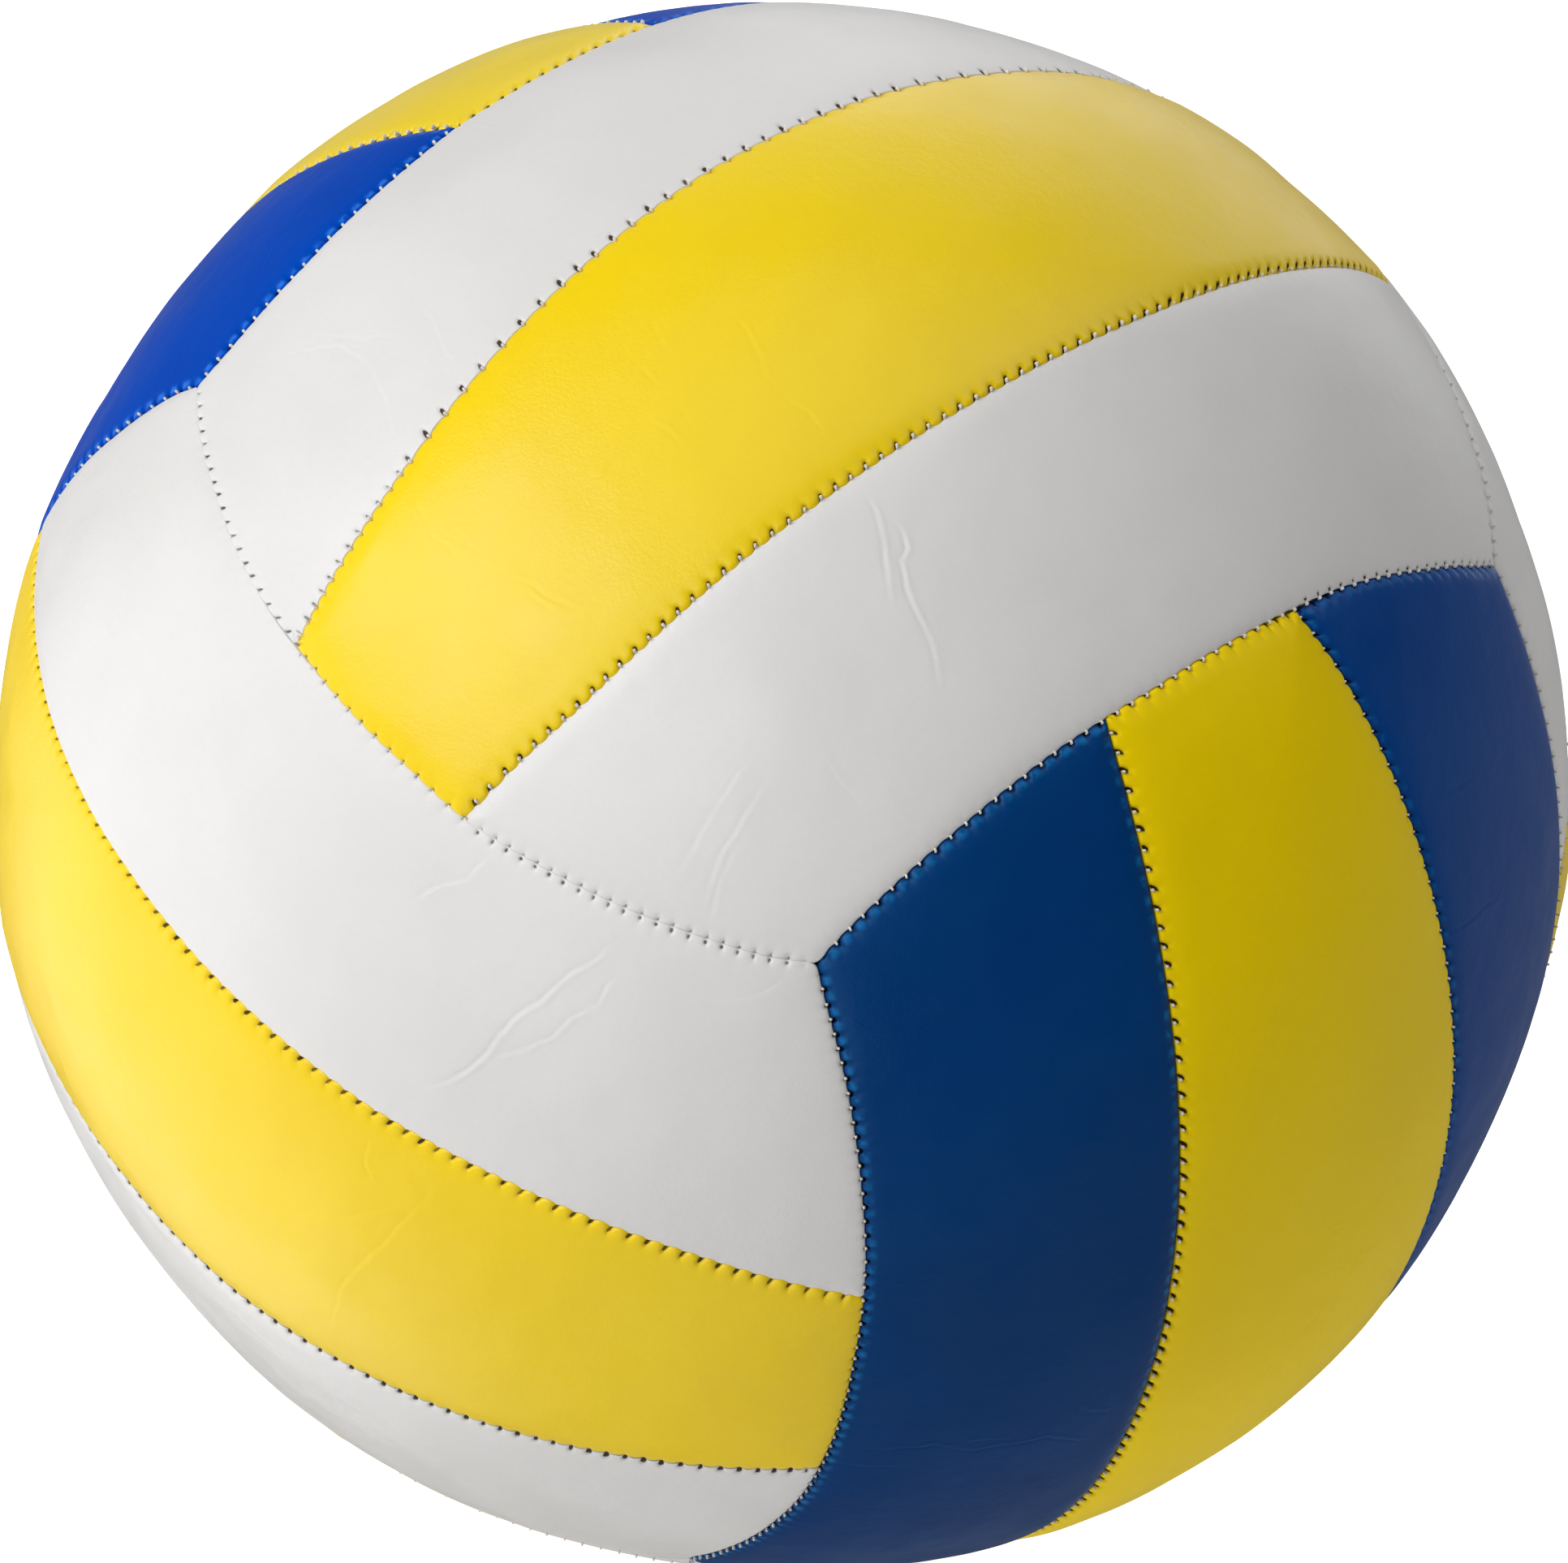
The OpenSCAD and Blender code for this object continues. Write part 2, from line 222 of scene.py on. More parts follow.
class Seam:
    """A circle on the ball about an axis, with its stitches. s runs along it and x across, towards the axis."""

    def __init__(self, axis, middle, angle, half, seed):
        self.n, self.e, self.angle, self.half, self.seed = axis, middle, angle, half, seed
        self.t = np.cross(axis, middle)
        self.r = BALL_R * math.sin(angle)

    def along(self, p):
        return self.r * np.arctan2(p @ self.t, p @ self.e)

    def across(self, p):
        return BALL_R * (self.angle - np.arccos(np.clip(p @ self.n, -1, 1)))

    def toward(self, p):
        return unit(self.n - (p @ self.n)[:, None] * p)

    def point(self, s, x, depth):
        """Points at s along the seam, x across it and a depth below the ball's surface."""
        turn, lean = s / self.r, self.angle - x / BALL_R
        ring = np.cos(turn)[:, None] * self.e + np.sin(turn)[:, None] * self.t
        return (BALL_R - depth)[:, None] * (np.cos(lean)[:, None] * self.n + np.sin(lean)[:, None] * ring)

    def sew(self, style):
        """Places the stitches and gives each side its relief, stitch by stitch."""
        rng = np.random.default_rng(self.seed)
        at = [-self.half + FIRST_STITCH]
        while at[-1] < self.half - FIRST_STITCH:
            at.append(at[-1] + part_of(style["pitch"], at[-1]) * rng.uniform(*PITCH_SPREAD))
        self.at = np.array(at[:-1])
        self.count = len(self.at)
        self.wander = style.get("wander", ((-self.half, 0), (self.half, 0)))
        self.sides = {}
        for way, key in ((1, "plus"), (-1, "minus")):
            table = {name: np.array([part_of(style[key], s)[name] for s in self.at], float) for name in RELIEF}
            for name, low, high in SPREADS:
                table[name] *= rng.uniform(low, high, self.count)
            table["tail"] = rng.uniform(*CRIMP_LENGTHS, self.count)
            table["crimp"] = rng.uniform(0, 1, self.count) ** 2
            self.sides[way] = table
        self.thread = [part_of(style["thread"], s) for s in self.at]

    def phase(self, s):
        """The stitch's number at s, which is whole at a stitch."""
        first, last = self.at[1] - self.at[0], self.at[-1] - self.at[-2]
        inner = np.interp(s, self.at, np.arange(self.count))
        return inner + np.minimum(s - self.at[0], 0) / first + np.maximum(s - self.at[-1], 0) / last

    def strength(self, s):
        """1 along the seam, and 0 at its ends."""
        return smooth((self.half - np.abs(s) - END_PLAIN) / END_FADE)

    def value(self, way, name, phase):
        return np.interp(phase, np.arange(self.count), self.sides[way][name])

    def wave(self, phase):
        """0 at each stitch and 1 between two."""
        return np.abs(np.sin(math.pi * phase)) ** WAVE_POWER

    def contact(self, s):
        """Where the two panels meet: the seam's slow wander, and the scallops between the stitches."""
        ends = smooth((self.half - np.abs(s)) / WANDER_FADE) if self.half < LONG_SEAM else 1.0
        slow = np.interp(s, *np.array(self.wander, float).T) * ends
        phase = self.phase(s)
        bow = self.wave(phase) - WAVE_MEAN
        wave = bow * (self.value(-1, "over", phase) - self.value(1, "over", phase)) * self.strength(s)
        return slow, wave


def bit(x=0.0, length=0.5, depth=0.3, slant=0.2, shift=0.0, radius=0.14):
    """A stitch's visible thread: its middle across the seam, length, depth, slant, shift along the seam, radius."""
    return (x, length, depth, slant, shift, radius)


PLAIN = side(bead=0.03, pinch=0.08, reach=1.2, sink=0.05, roll=0.5, lip=0.15)
BEADED = side(over=0.42, bead=0.18, pinch=0.22, reach=0.7, hole_u=0.34, hole_r=0.25, hole_l=0.38, lean=-0.5, lip=0.35)
HOLED = side(bead=0.02, pinch=0.1, reach=0.8, hole_u=0.6, hole_r=0.24, hole_l=0.44, lean=0.2, roll=0.3, lip=0.0)
WAVED = side(over=0.24, bead=0.08, pinch=0.1, reach=0.8, roll=0.6, lip=0.1)
SCALLOP = side(over=0.28, bead=0.18, pinch=0.28, reach=0.7, hole_u=0.12, hole_r=0.22, hole_l=0.3)

# Each seam in view: its pitch, its two sides, its thread, and its wander as (s, x). A list gives the entry up to
# each s. The key is the face, the side of the face, and whether the seam is between strips or between faces.
STYLES = {
    ("top", 1, "strip"): dict(
        pitch=2.53, plus=PLAIN,
        minus=[(-25, side(over=0.28, bead=0.14, pinch=0.18, reach=0.7, hole_u=0.5, hole_r=0.26, hole_l=0.5, lean=-1.0)),
               (99, BEADED)],
        thread=[(-25, bit(0.05, 0.2, 0.25, 0.3, -0.2, 0.13)), (99, bit(-0.03, 0.32, 0.16, 0.3, 0.08, 0.2))],
        wander=((-75, -0.25), (-60, 0.1), (-25, 0.4), (0, 0), (20, -0.3), (45, -0.45), (75, 0.6), (90, 0.35))),
    ("top", -1, "strip"): dict(
        pitch=[(-68, 2.2), (-36, 3.8), (20, 3.2), (99, 4.0)],
        plus=[(-68, side(bead=0.02, pinch=0.08, hole_u=0.45, hole_r=0.14, hole_l=0.4, roll=0.3, lip=0.0)), (99, HOLED)],
        minus=WAVED, thread=bit(-0.04, 0.42, 0.1, 0.1, -0.05, 0.19),
        wander=((-92, -1.0), (-65, -0.75), (-55, -0.4), (-40, 0), (-20, 0.2), (-10, 0.2), (5, -0.45), (20, -0.95),
                (30, -1.45), (40, -1.7), (60, -1.0), (92, 0))),
    ("front", -1, "strip"): dict(
        pitch=2.45,
        plus=side(bead=0.02, pinch=0.08, reach=1.0, roll=0.35, lip=0.0),
        minus=[(-15, side(over=0.24, bead=0.1, pinch=0.15, reach=0.8, hole_u=0.36, hole_r=0.17, hole_l=0.36, lean=-0.7,
                     roll=0.5, lip=0.05)),
               (99, side(over=0.4, bead=0.2, pinch=0.26, reach=0.8, hole_u=0.5, hole_r=0.2, hole_l=0.36, lean=-0.5,
                     roll=0.7, lip=0.15))],
        thread=bit(0.05, 0.3, 1.0, 0.4, 0.3),
        wander=((-70, 0.5), (-50, 0.75), (-22, 1.3), (-5, 0.8), (25, 0.2), (42, 0.8), (70, 1.1), (85, 0.6))),
    ("front", 1, "strip"): dict(
        pitch=2.45,
        plus=side(bead=0.02, pinch=0.12, reach=0.8, hole_u=0.46, hole_r=0.3, hole_l=0.42, lean=0.2, roll=0.3, lip=0.0),
        minus=WAVED, thread=bit(0.0, 0.3, 1.0),
        wander=((-90, -0.4), (-70, -0.65), (-30, 0.1), (-10, 0.55), (10, 0), (40, 0.3), (90, 0))),
    ("right", -1, "strip"): dict(
        pitch=2.55,
        plus=side(over=0.05, bead=0.05, pinch=0.12, sink=0.05, roll=0.8, lip=0.7),
        minus=side(over=0.2, bead=0.14, pinch=0.25, reach=0.8, hole_u=0.42, hole_r=0.3, hole_l=0.38, lean=-0.8,
               roll=0.6, lip=0.2),
        thread=bit(0.0, 0.14, 0.16, 0.2, -0.12, 0.19),
        wander=((-90, 0.2), (-20, 0.9), (0, 0.65), (25, 0.4), (50, 0.2), (80, 0.2))),
    ("right", 1, "strip"): dict(
        pitch=2.55,
        plus=side(over=-0.05, bead=0.08, pinch=0.2, reach=0.9, hole_u=0.4, hole_r=0.3, hole_l=0.4, lean=0.8, lip=0.7),
        minus=WAVED, thread=bit(0.03, 0.1, 0.4, 0.4, -0.3, 0.16),
        wander=((-93, -1.5), (-85, -0.5), (-75, 0), (-60, 0.2), (-30, 0.2), (30, 0.5), (90, 0))),
    ("top", 1, "face"): dict(
        pitch=2.45,
        plus=[(-16, side(over=0.14, bead=0.1, pinch=0.15, hole_u=0.1, hole_r=0.16, lip=0.8)),
              (17, SCALLOP),
              (99, side(over=0.24, bead=0.2, pinch=0.28, reach=0.9, hole_u=0.12, hole_r=0.3, hole_l=0.34, lean=0.3,
                    lip=0.8))],
        minus=[(-16, side(pinch=0.1, hole_u=0.45, hole_r=0.22, hole_l=0.16, bead=0.03, roll=0.5, lip=0.1)),
               (99, PLAIN)],
        thread=[(-16, bit(0.05, 0.2, 0.22, 0.3, 0.3, 0.15)), (99, bit(-0.02, 0.34, 0.2, 0.3, 0.16, 0.16))],
        wander=((-60, 0.5), (-45, 0.75), (-25, 0.15), (-10, 0.4), (10, 0.55), (25, -0.1), (55, -0.2))),
    ("front", -1, "face"): dict(
        pitch=[(-17, 2.5), (18, 2.7), (99, 2.15)],
        plus=[(-17, side(bead=0.02, pinch=0.1, reach=0.7, hole_u=0.2, hole_r=0.18, hole_l=0.55, lean=0.7, roll=0.25,
                    lip=0.0)),
              (18, side(over=0.1, bead=0.04, pinch=0.08, reach=0.8, hole_u=0.05, hole_r=0.13, hole_l=0.2, roll=0.3,
                    lip=0.03)),
              (99, side(bead=0.05, pinch=0.15, reach=0.8, hole_u=0.14, hole_r=0.09, hole_l=0.25, roll=0.35, lip=0.1))],
        minus=[(-17, side(bead=0.02, pinch=0.06, reach=0.7, roll=0.25, lip=0.0)),
               (18, side(pinch=0.06, hole_u=0.2, hole_r=0.1, hole_l=0.16, roll=0.25, lip=0.0)),
               (99, side(bead=0.05, pinch=0.1, hole_u=0.5, hole_r=0.15, hole_l=0.2, roll=0.35, lip=0.1))],
        thread=bit(-0.05, 0.3, 1.0),
        wander=((-60, 0), (-45, 0.7), (-20, 0.45), (-12, 0.7), (8, 0.1), (18, -0.9), (40, -0.9), (60, -0.65))),
    ("right", -1, "face"): dict(
        pitch=2.05,
        plus=side(bead=0.05, pinch=0.15, reach=0.7, hole_u=0.1, hole_r=0.16, hole_l=0.2, roll=0.5, lip=0.4),
        minus=side(over=0.12, bead=0.16, pinch=0.22, reach=0.8, hole_u=0.2, hole_r=0.3, hole_l=0.34, roll=0.8, lip=0.9),
        thread=bit(0.05, 0.12, 0.4, 0.3, 0.25, 0.16),
        wander=((-50, 1.85), (-35, 1.35), (-22, 0.85), (5, 0.65), (25, -0.1), (50, -0.1), (62, 0.15))),
    ("top", -1, "face"): dict(
        pitch=2.35,
        plus=[(-17, side(over=0.12, bead=0.2, pinch=0.32, reach=1.0, hole_u=0.25, hole_r=0.3, hole_l=0.4, lean=0.1,
                    lip=0.8)),
              (99, side(over=0.1, bead=0.08, pinch=0.2, hole_u=0.25, hole_r=0.32, hole_l=0.5, lean=1.0, lip=0.1))],
        minus=PLAIN,
        thread=[(-17, bit(0.05, 0.16, 0.36, 0.1, 0.4, 0.2)), (99, bit(0.0, 0.3, 1.0))],
        wander=((-65, -0.65), (-45, -1.6), (-25, -0.65), (-18, -0.15), (-10, -0.65), (0, -0.9), (60, 0))),
    ("left", 1, "face"): dict(
        pitch=3.0, plus=PLAIN,
        minus=side(over=0.2, bead=0.2, pinch=0.3, reach=1.0, hole_u=0.2, hole_r=0.34, hole_l=0.34, lip=0.8),
        thread=bit(-0.05, 0.1, 0.5, 0.2, 0.35, 0.17),
        wander=((-64, -0.35), (-55, 0.65), (-45, 1.4), (0, 0.5), (60, 0))),
}
# Seams out of view
USUAL = {
    "strip": dict(pitch=2.5, plus=PLAIN, minus=BEADED, thread=bit(0.02, 0.32, 0.2, 0.3, 0.1, 0.18)),
    "face": dict(pitch=2.45, plus=SCALLOP, minus=PLAIN, thread=bit(0.02, 0.2, 0.26, 0.4, 0.16, 0.15)),
}


def face_axes(face):
    z, x = np.array(face[1], float), np.array(face[2], float)
    return x, np.cross(z, x), z


def seam_axes(face, way, tilt):
    """A seam's axis and the direction of its middle, where it is tilted from the face's own axes."""
    x, _, z = face_axes(face)
    c, s = math.cos(tilt), math.sin(tilt)
    return way * c * x - s * z, way * s * x + c * z


def end_reach(tilt, angle, depth=0.0):
    """Turn about a seam's axis from its middle to the face's end seam, or to a line inside that seam."""
    c, r = np.cos(angle), np.sin(angle)
    a = r * np.cos(tilt) * math.cos(FACE_TILT)
    b = r * math.sin(FACE_TILT)
    level = np.cos(FACE_ANGLE - depth / BALL_R) + c * np.sin(tilt) * math.cos(FACE_TILT)
    return np.arccos(level / np.hypot(a, b)) - np.arctan2(b, a)


SEAMS = {}
for number, face in enumerate(FACES):
    for way in (-1, 1):
        half = BALL_R * math.sin(STRIP_ANGLE) * float(end_reach(STRIP_TILT, STRIP_ANGLE))
        seed = 10 * number + way + 1
        SEAMS[face[0], way, "strip"] = Seam(*seam_axes(face, way, STRIP_TILT), STRIP_ANGLE, half, seed)
        half = BALL_R * math.sin(FACE_ANGLE) * math.asin(1 / (math.sqrt(3) * math.sin(FACE_ANGLE)))
        SEAMS[face[0], way, "face"] = Seam(*seam_axes(face, way, FACE_TILT), FACE_ANGLE, half, seed + 4)
for number, (key, seam) in enumerate(SEAMS.items()):
    seam.number = number
    seam.sew(STYLES.get(key, USUAL[key[2]]))


def end_seam(face, way):
    """The seam at the end of a face's strips. It runs along the neighbouring face."""
    _, y, z = face_axes(face)
    neighbour = next(f for f in FACES if np.allclose(f[1], way * y))
    side_way = 1 if np.allclose(neighbour[2], z) else -1
    return SEAMS[neighbour[0], side_way, "face"]


# Creases of the panels in view: depth, then points as (right, up) from the camera, in millimetres
CREASES = {
    "top_right": (
        (0.094, (10.2, 37.0), (11.5, 34.5), (12.3, 30.4), (12.7, 26.3), (13.4, 21.2)),
        (0.105, (12.7, 34.7), (15.0, 31.9), (15.4, 29.9), (14.5, 28.3), (15.2, 25.3), (17.2, 20.7), (18.5, 17.2),
         (19.3, 13.1), (19.8, 10.1)),
        (0.047, (-3.5, 4.0), (-6.5, 1.0), (-9.6, -4.1), (-12.6, -9.1), (-14.1, -13.2)),
        (0.047, (-1.5, 2.0), (-6.0, -5.1), (-8.6, -10.1), (-10.6, -15.2)),
        (0.042, (-6.0, -7.1), (-8.1, -11.7), (-9.4, -17.2)),
        (0.036, (4.6, 4.0), (7.6, -0.0), (10.1, -3.1)),
    ),
    "top_centre": (
        (0.06, (-47.3, 38.3), (-45.5, 34.2), (-43.3, 30.6), (-39.2, 28.5), (-35.1, 26.9), (-31.0, 24.8),
         (-26.9, 22.3), (-20.7, 21.0)),
        (0.037, (-41.3, 32.6), (-39.2, 30.0), (-37.1, 28.5)),
        (0.053, (-32.5, 24.6), (-29.9, 22.8), (-27.7, 21.5)),
        (0.053, (-7.1, 59.8), (-4.6, 57.2), (-3.0, 53.5), (-2.5, 51.5), (0.0, 48.9), (3.1, 46.8), (5.1, 43.7),
         (5.6, 41.4)),
        (0.037, (-16.9, 58.8), (-15.6, 56.7), (-14.6, 54.1)),
        (0.03, (-17.8, 52.6), (-15.3, 49.4)),
        (0.037, (-16.8, 45.8), (-14.2, 44.2), (-11.7, 41.4)),
        (0.037, (-24.1, 38.4), (-22.4, 38.8), (-21.1, 40.2)),
        (0.03, (-13.7, 47.9), (-11.7, 45.8), (-10.4, 43.2)),
    ),
    "top_left": (
        (0.06, (-46.0, 61.5), (-44.3, 57.7), (-43.0, 54.5), (-41.6, 52.9)),
        (0.045, (-66.1, 54.6), (-61.8, 55.9), (-57.5, 56.4), (-54.8, 55.3), (-52.6, 53.1), (-50.9, 49.4),
         (-49.8, 44.1), (-48.7, 41.8)),
        (0.03, (-59.7, 58.1), (-53.3, 57.1), (-48.0, 57.6)),
        (0.05, (-41.4, 86.1), (-38.3, 85.4), (-34.6, 84.8)),
        (0.03, (-9.4, 87.6), (-7.8, 84.8)),
    ),
    "front_upper": (
        (0.094, (-19.5, -17.6), (-22.8, -20.8), (-26.9, -23.4), (-30.4, -26.5), (-33.5, -28.5), (-36.1, -31.1),
         (-37.2, -33.2), (-40.3, -35.8), (-43.4, -37.4), (-47.6, -39.0)),
        (0.078, (-19.2, -22.8), (-22.3, -24.9), (-23.3, -26.9), (-26.9, -29.0), (-28.9, -31.0), (-32.0, -32.6),
         (-35.1, -33.1), (-38.2, -35.2)),
        (0.052, (0.5, -23.3), (-2.5, -25.4), (-6.0, -26.2), (-10.6, -26.9)),
        (0.062, (-36.8, -7.5), (-39.6, -11.2), (-42.2, -11.9), (-47.4, -14.3)),
    ),
    "front_centre": (
        (0.05, (-43.6, -50.4), (-47.9, -54.7), (-51.2, -58.0), (-53.4, -60.2), (-56.7, -63.6), (-57.4, -66.9),
         (-59.2, -70.3)),
        (0.045, (-47.8, -51.0), (-50.0, -53.2), (-55.3, -54.4), (-61.7, -54.0), (-64.4, -53.6)),
        (0.035, (-52.4, -44.3), (-53.0, -47.4), (-52.0, -50.6)),
        (0.025, (-85.5, -34.7), (-85.1, -40.0), (-85.0, -47.6)),
    ),
    "right_front": (
        (0.08, (8.5, -84.6), (13.1, -85.3), (19.3, -84.7), (24.6, -85.6), (28.8, -85.0), (34.1, -84.0),
         (39.4, -84.7), (42.2, -84.2)),
        (0.06, (23.3, -84.4), (26.1, -84.1), (29.3, -84.3)),
        (0.07, (6.8, -87.2), (11.0, -87.6), (15.7, -87.6)),
        (0.06, (37.1, -79.6), (39.8, -80.6), (42.7, -80.5)),
        (0.03, (13.7, -63.7), (17.0, -62.9), (20.0, -61.6)),
        (0.03, (15.9, -53.7), (19.0, -56.9), (22.1, -59.5)),
        (0.05, (5.8, -97.9), (10.1, -96.7)),
    ),
    "left_front": (
        (0.07, (-66.5, 70.7), (-67.8, 67.9), (-70.3, 65.5)),
        (0.05, (-65.1, 67.2), (-67.2, 64.9), (-68.8, 62.7)),
    ),
}


def crease_lines(panel):
    """A panel's creases as (depth, unit vectors along it). Panels out of view get a few of their own."""
    name = f"{panel.face[0]}_{panel.face[4][panel.strip + 1]}"
    if name in CREASES:
        for depth, *places in CREASES[name]:
            across, up = np.array(places).T
            toward = np.sqrt(BALL_R ** 2 - across ** 2 - up ** 2)
            yield depth, (across[:, None] * CAM_X + up[:, None] * CAM_Y + toward[:, None] * CAM_Z) / BALL_R
        return
    rng = np.random.default_rng(sum(map(ord, name)))
    x, y, z = face_axes(panel.face)
    for _ in range(OWN_CREASES):
        way, heading = rng.uniform(-OWN_ALONG, OWN_ALONG), rng.uniform(0, math.pi)
        run = np.linspace(-1, 1, OWN_POINTS) * rng.uniform(*OWN_HALF)
        bend = rng.uniform(-OWN_BEND, OWN_BEND) * (run / 10) ** 2 + rng.uniform(-OWN_STRAY, OWN_STRAY, OWN_POINTS)
        px = STRIP_STEP * panel.strip + rng.uniform(-OWN_ACROSS, OWN_ACROSS)
        px = px + run * math.cos(heading) - bend * math.sin(heading)
        py = way + run * math.sin(heading) + bend * math.cos(heading)
        yield rng.uniform(*OWN_DEPTH), unit(px[:, None] * x + py[:, None] * y + OWN_PLANE * z)


def off_line(p, line):
    """Signed distance of points from a line on the ball, and how far along it they are, from 0 to 1."""
    best, way, share = np.full(len(p), 1e9), np.ones(len(p)), np.zeros(len(p))
    steps = np.linalg.norm(np.diff(line, axis=0), axis=1)
    starts = np.concatenate(([0], np.cumsum(steps)))
    for a, b, length, start in zip(line, line[1:], steps, starts):
        t = np.clip((p - a) @ (b - a) / length ** 2, 0, 1)
        gap = p - (a + t[:, None] * (b - a))
        far = np.linalg.norm(gap, axis=1) * BALL_R
        nearer = far < best
        best[nearer] = far[nearer]
        way[nearer] = np.sign(gap @ np.cross(a, b - a))[nearer]
        share[nearer] = ((start + t * length) / starts[-1])[nearer]
    return best * way, share


# Keeps the stitch numbers of one seam apart from the next one's
PHASE_STEP = 120


class Panel:
    """One leather strip, with a mesh that is fine along its edges and coarser in its middle."""

    def __init__(self, face, strip):
        self.face, self.strip = face, strip
        self.name = f"leather_{face[0]}_{face[4][strip + 1]}"
        self.node = f"panel_{face[0]}_{face[4][strip + 1]}"
        self.colour = "yellow" if strip == 0 else face[3]
        self.flip = strip == -1
        self.valve = (face[0], strip) == VALVE_PANEL
        if strip == 0:
            self.tilts, self.angles = (-STRIP_TILT, STRIP_TILT), (math.pi - STRIP_ANGLE, STRIP_ANGLE)
            cells = MIDDLE_CELLS
            sides = ((SEAMS[face[0], -1, "strip"], -1), (SEAMS[face[0], 1, "strip"], -1))
        else:
            self.tilts, self.angles = (STRIP_TILT, FACE_TILT), (STRIP_ANGLE, FACE_ANGLE)
            cells = OUTER_CELLS
            sides = ((SEAMS[face[0], strip, "strip"], 1), (SEAMS[face[0], strip, "face"], -1))
        self.n, self.m = (2 * BAND_N + count for count in cells)
        ends = ((end_seam(face, -1), 1), (end_seam(face, 1), 1))
        self.edges = sides + ends
        self.creases = list(crease_lines(self))

    def on_ball(self, i, j):
        """Unit vectors of the mesh's grid points, before any relief."""
        near, far = i <= BAND_N, i >= self.n - BAND_N
        f = np.clip((i - BAND_N) / (self.n - 2 * BAND_N), 0, 1)
        low = self.angles[0] - np.where(near, BAND[np.minimum(i, BAND_N)], BAND[-1]) / BALL_R
        high = self.angles[1] + np.where(far, BAND[np.minimum(self.n - i, BAND_N)], BAND[-1]) / BALL_R
        tilt = self.tilts[0] + f * (self.tilts[1] - self.tilts[0])
        angle = low + f * (high - low)
        side_j = np.minimum(j, self.m - j)
        depth = BAND[np.minimum(side_j, BAND_N)]
        share = np.clip((j - BAND_N) / (self.m - 2 * BAND_N), 0, 1) * 2 - 1
        turn = end_reach(tilt, angle, depth) * np.where(side_j <= BAND_N, np.sign(j - self.m / 2), share)
        c, r = np.cos(angle), np.sin(angle)
        way = -1 if self.flip else 1
        x, y, z = face_axes(self.face)
        px = c * np.cos(tilt) + r * np.cos(turn) * np.sin(tilt)
        pz = -c * np.sin(tilt) + r * np.cos(turn) * np.cos(tilt)
        return (way * px)[:, None] * x + (r * np.sin(turn))[:, None] * y + pz[:, None] * z

    def relief(self, p):
        """Moves grid points to the leather's outer surface. Also returns what the material needs to know."""
        u = [way * seam.across(p) for seam, way in self.edges]
        s = [seam.along(p) for seam, way in self.edges]
        v = [np.clip(1 - d / ROLL_W, 0, 1) for d in u]
        vx, vy = np.maximum(v[0], v[1]), np.maximum(v[2], v[3])
        k = np.maximum(vx, vy)
        corner = k / np.maximum((vx ** CORNER_POWER + vy ** CORNER_POWER) ** (1 / CORNER_POWER), 1e-9)
        edge = np.min(u, axis=0)
        shares = np.array([near ** BLEND_POWER + 1e-12 for near in v])
        phases = [seam.phase(along) for (seam, _), along in zip(self.edges, s)]
        roll, lip = (sum(share * seam.value(way, name, phase)
                         for share, (seam, way), phase in zip(shares, self.edges, phases)) / shares.sum(0)
                     for name in ("roll", "lip"))
        height = -ROLL_D * roll * k ** ROLL_POWER - LIP_D * lip * np.exp(-np.maximum(edge, 0) / LIP_W)
        moved = p.copy()
        nearest = np.argmin(u, axis=0)
        data = {name: np.zeros(len(p)) for name in ("phase", "pitch", "hole_u", "hole_r", "hole_l", "lean")}
        data["edge"], data["lip"] = edge, lip
        for which, ((seam, way), d, along, share) in enumerate(zip(self.edges, u, s, v)):
            slow, wave = seam.contact(along)
            shift = slow * (1 - smooth(d / WANDER_REACH)) + wave * (1 - smooth(d / SCALLOP_REACH))
            shift = shift + way * (HALF_GAP * (1 - smooth(d / GAP_REACH)) + ROLL_W * share * (1 - corner))
            moved += seam.toward(p) * (shift / BALL_R)[:, None]
            height += self.stitched(seam, way, d, along)
            mine = nearest == which
            phase = seam.phase(along)
            data["phase"][mine] = (phase + PHASE_STEP * seam.number)[mine]
            data["pitch"][mine] = np.gradient(seam.at)[np.clip(np.rint(phase), 0, seam.count - 1).astype(int)][mine]
            for name in ("hole_u", "hole_l", "lean"):
                data[name][mine] = seam.value(way, name, phase)[mine]
            data["hole_r"][mine] = (seam.value(way, "hole_r", phase) * seam.strength(along))[mine]
        height += self.crown(edge) + self.wrinkles(p, edge) + out_of_round(p)
        return unit(moved), height, data

    def stitched(self, seam, way, d, along):
        """Height that the stitches of one edge give to the leather beside them."""
        phase = seam.phase(along)
        near = np.rint(phase)
        k = np.clip(near, 0, seam.count - 1).astype(int)
        table = seam.sides[way]
        ds = (phase - near) * np.gradient(seam.at)[k] - table["lean"][k] * (d - table["hole_u"][k])
        inside = np.maximum(d, 0)
        bulge = seam.value(way, "bead", phase) * seam.wave(phase) * d / BEAD_U * np.exp(1 - d / BEAD_U)
        dent = table["pinch"][k] * np.exp(-(ds / DENT_W) ** 2 - (inside / table["reach"][k]) ** 2)
        hole_r, hole_l = (np.maximum(table[name][k], HOLE_LEAST) * HOLE_SPREAD for name in ("hole_r", "hole_l"))
        reach = (ds / hole_r) ** 2 + ((d - table["hole_u"][k]) / hole_l) ** 2
        hole = np.where(table["hole_r"][k] > 0, HOLE_D, 0) * np.exp(-reach)
        crimp = CRIMP_D * table["crimp"][k] * np.exp(-(ds / CRIMP_W) ** 2 - inside / table["tail"][k])
        sink = seam.value(way, "sink", phase) * np.exp(-inside / SINK_REACH)
        return (bulge - dent - hole - crimp - sink) * seam.strength(along) * (d < STITCH_REACH)

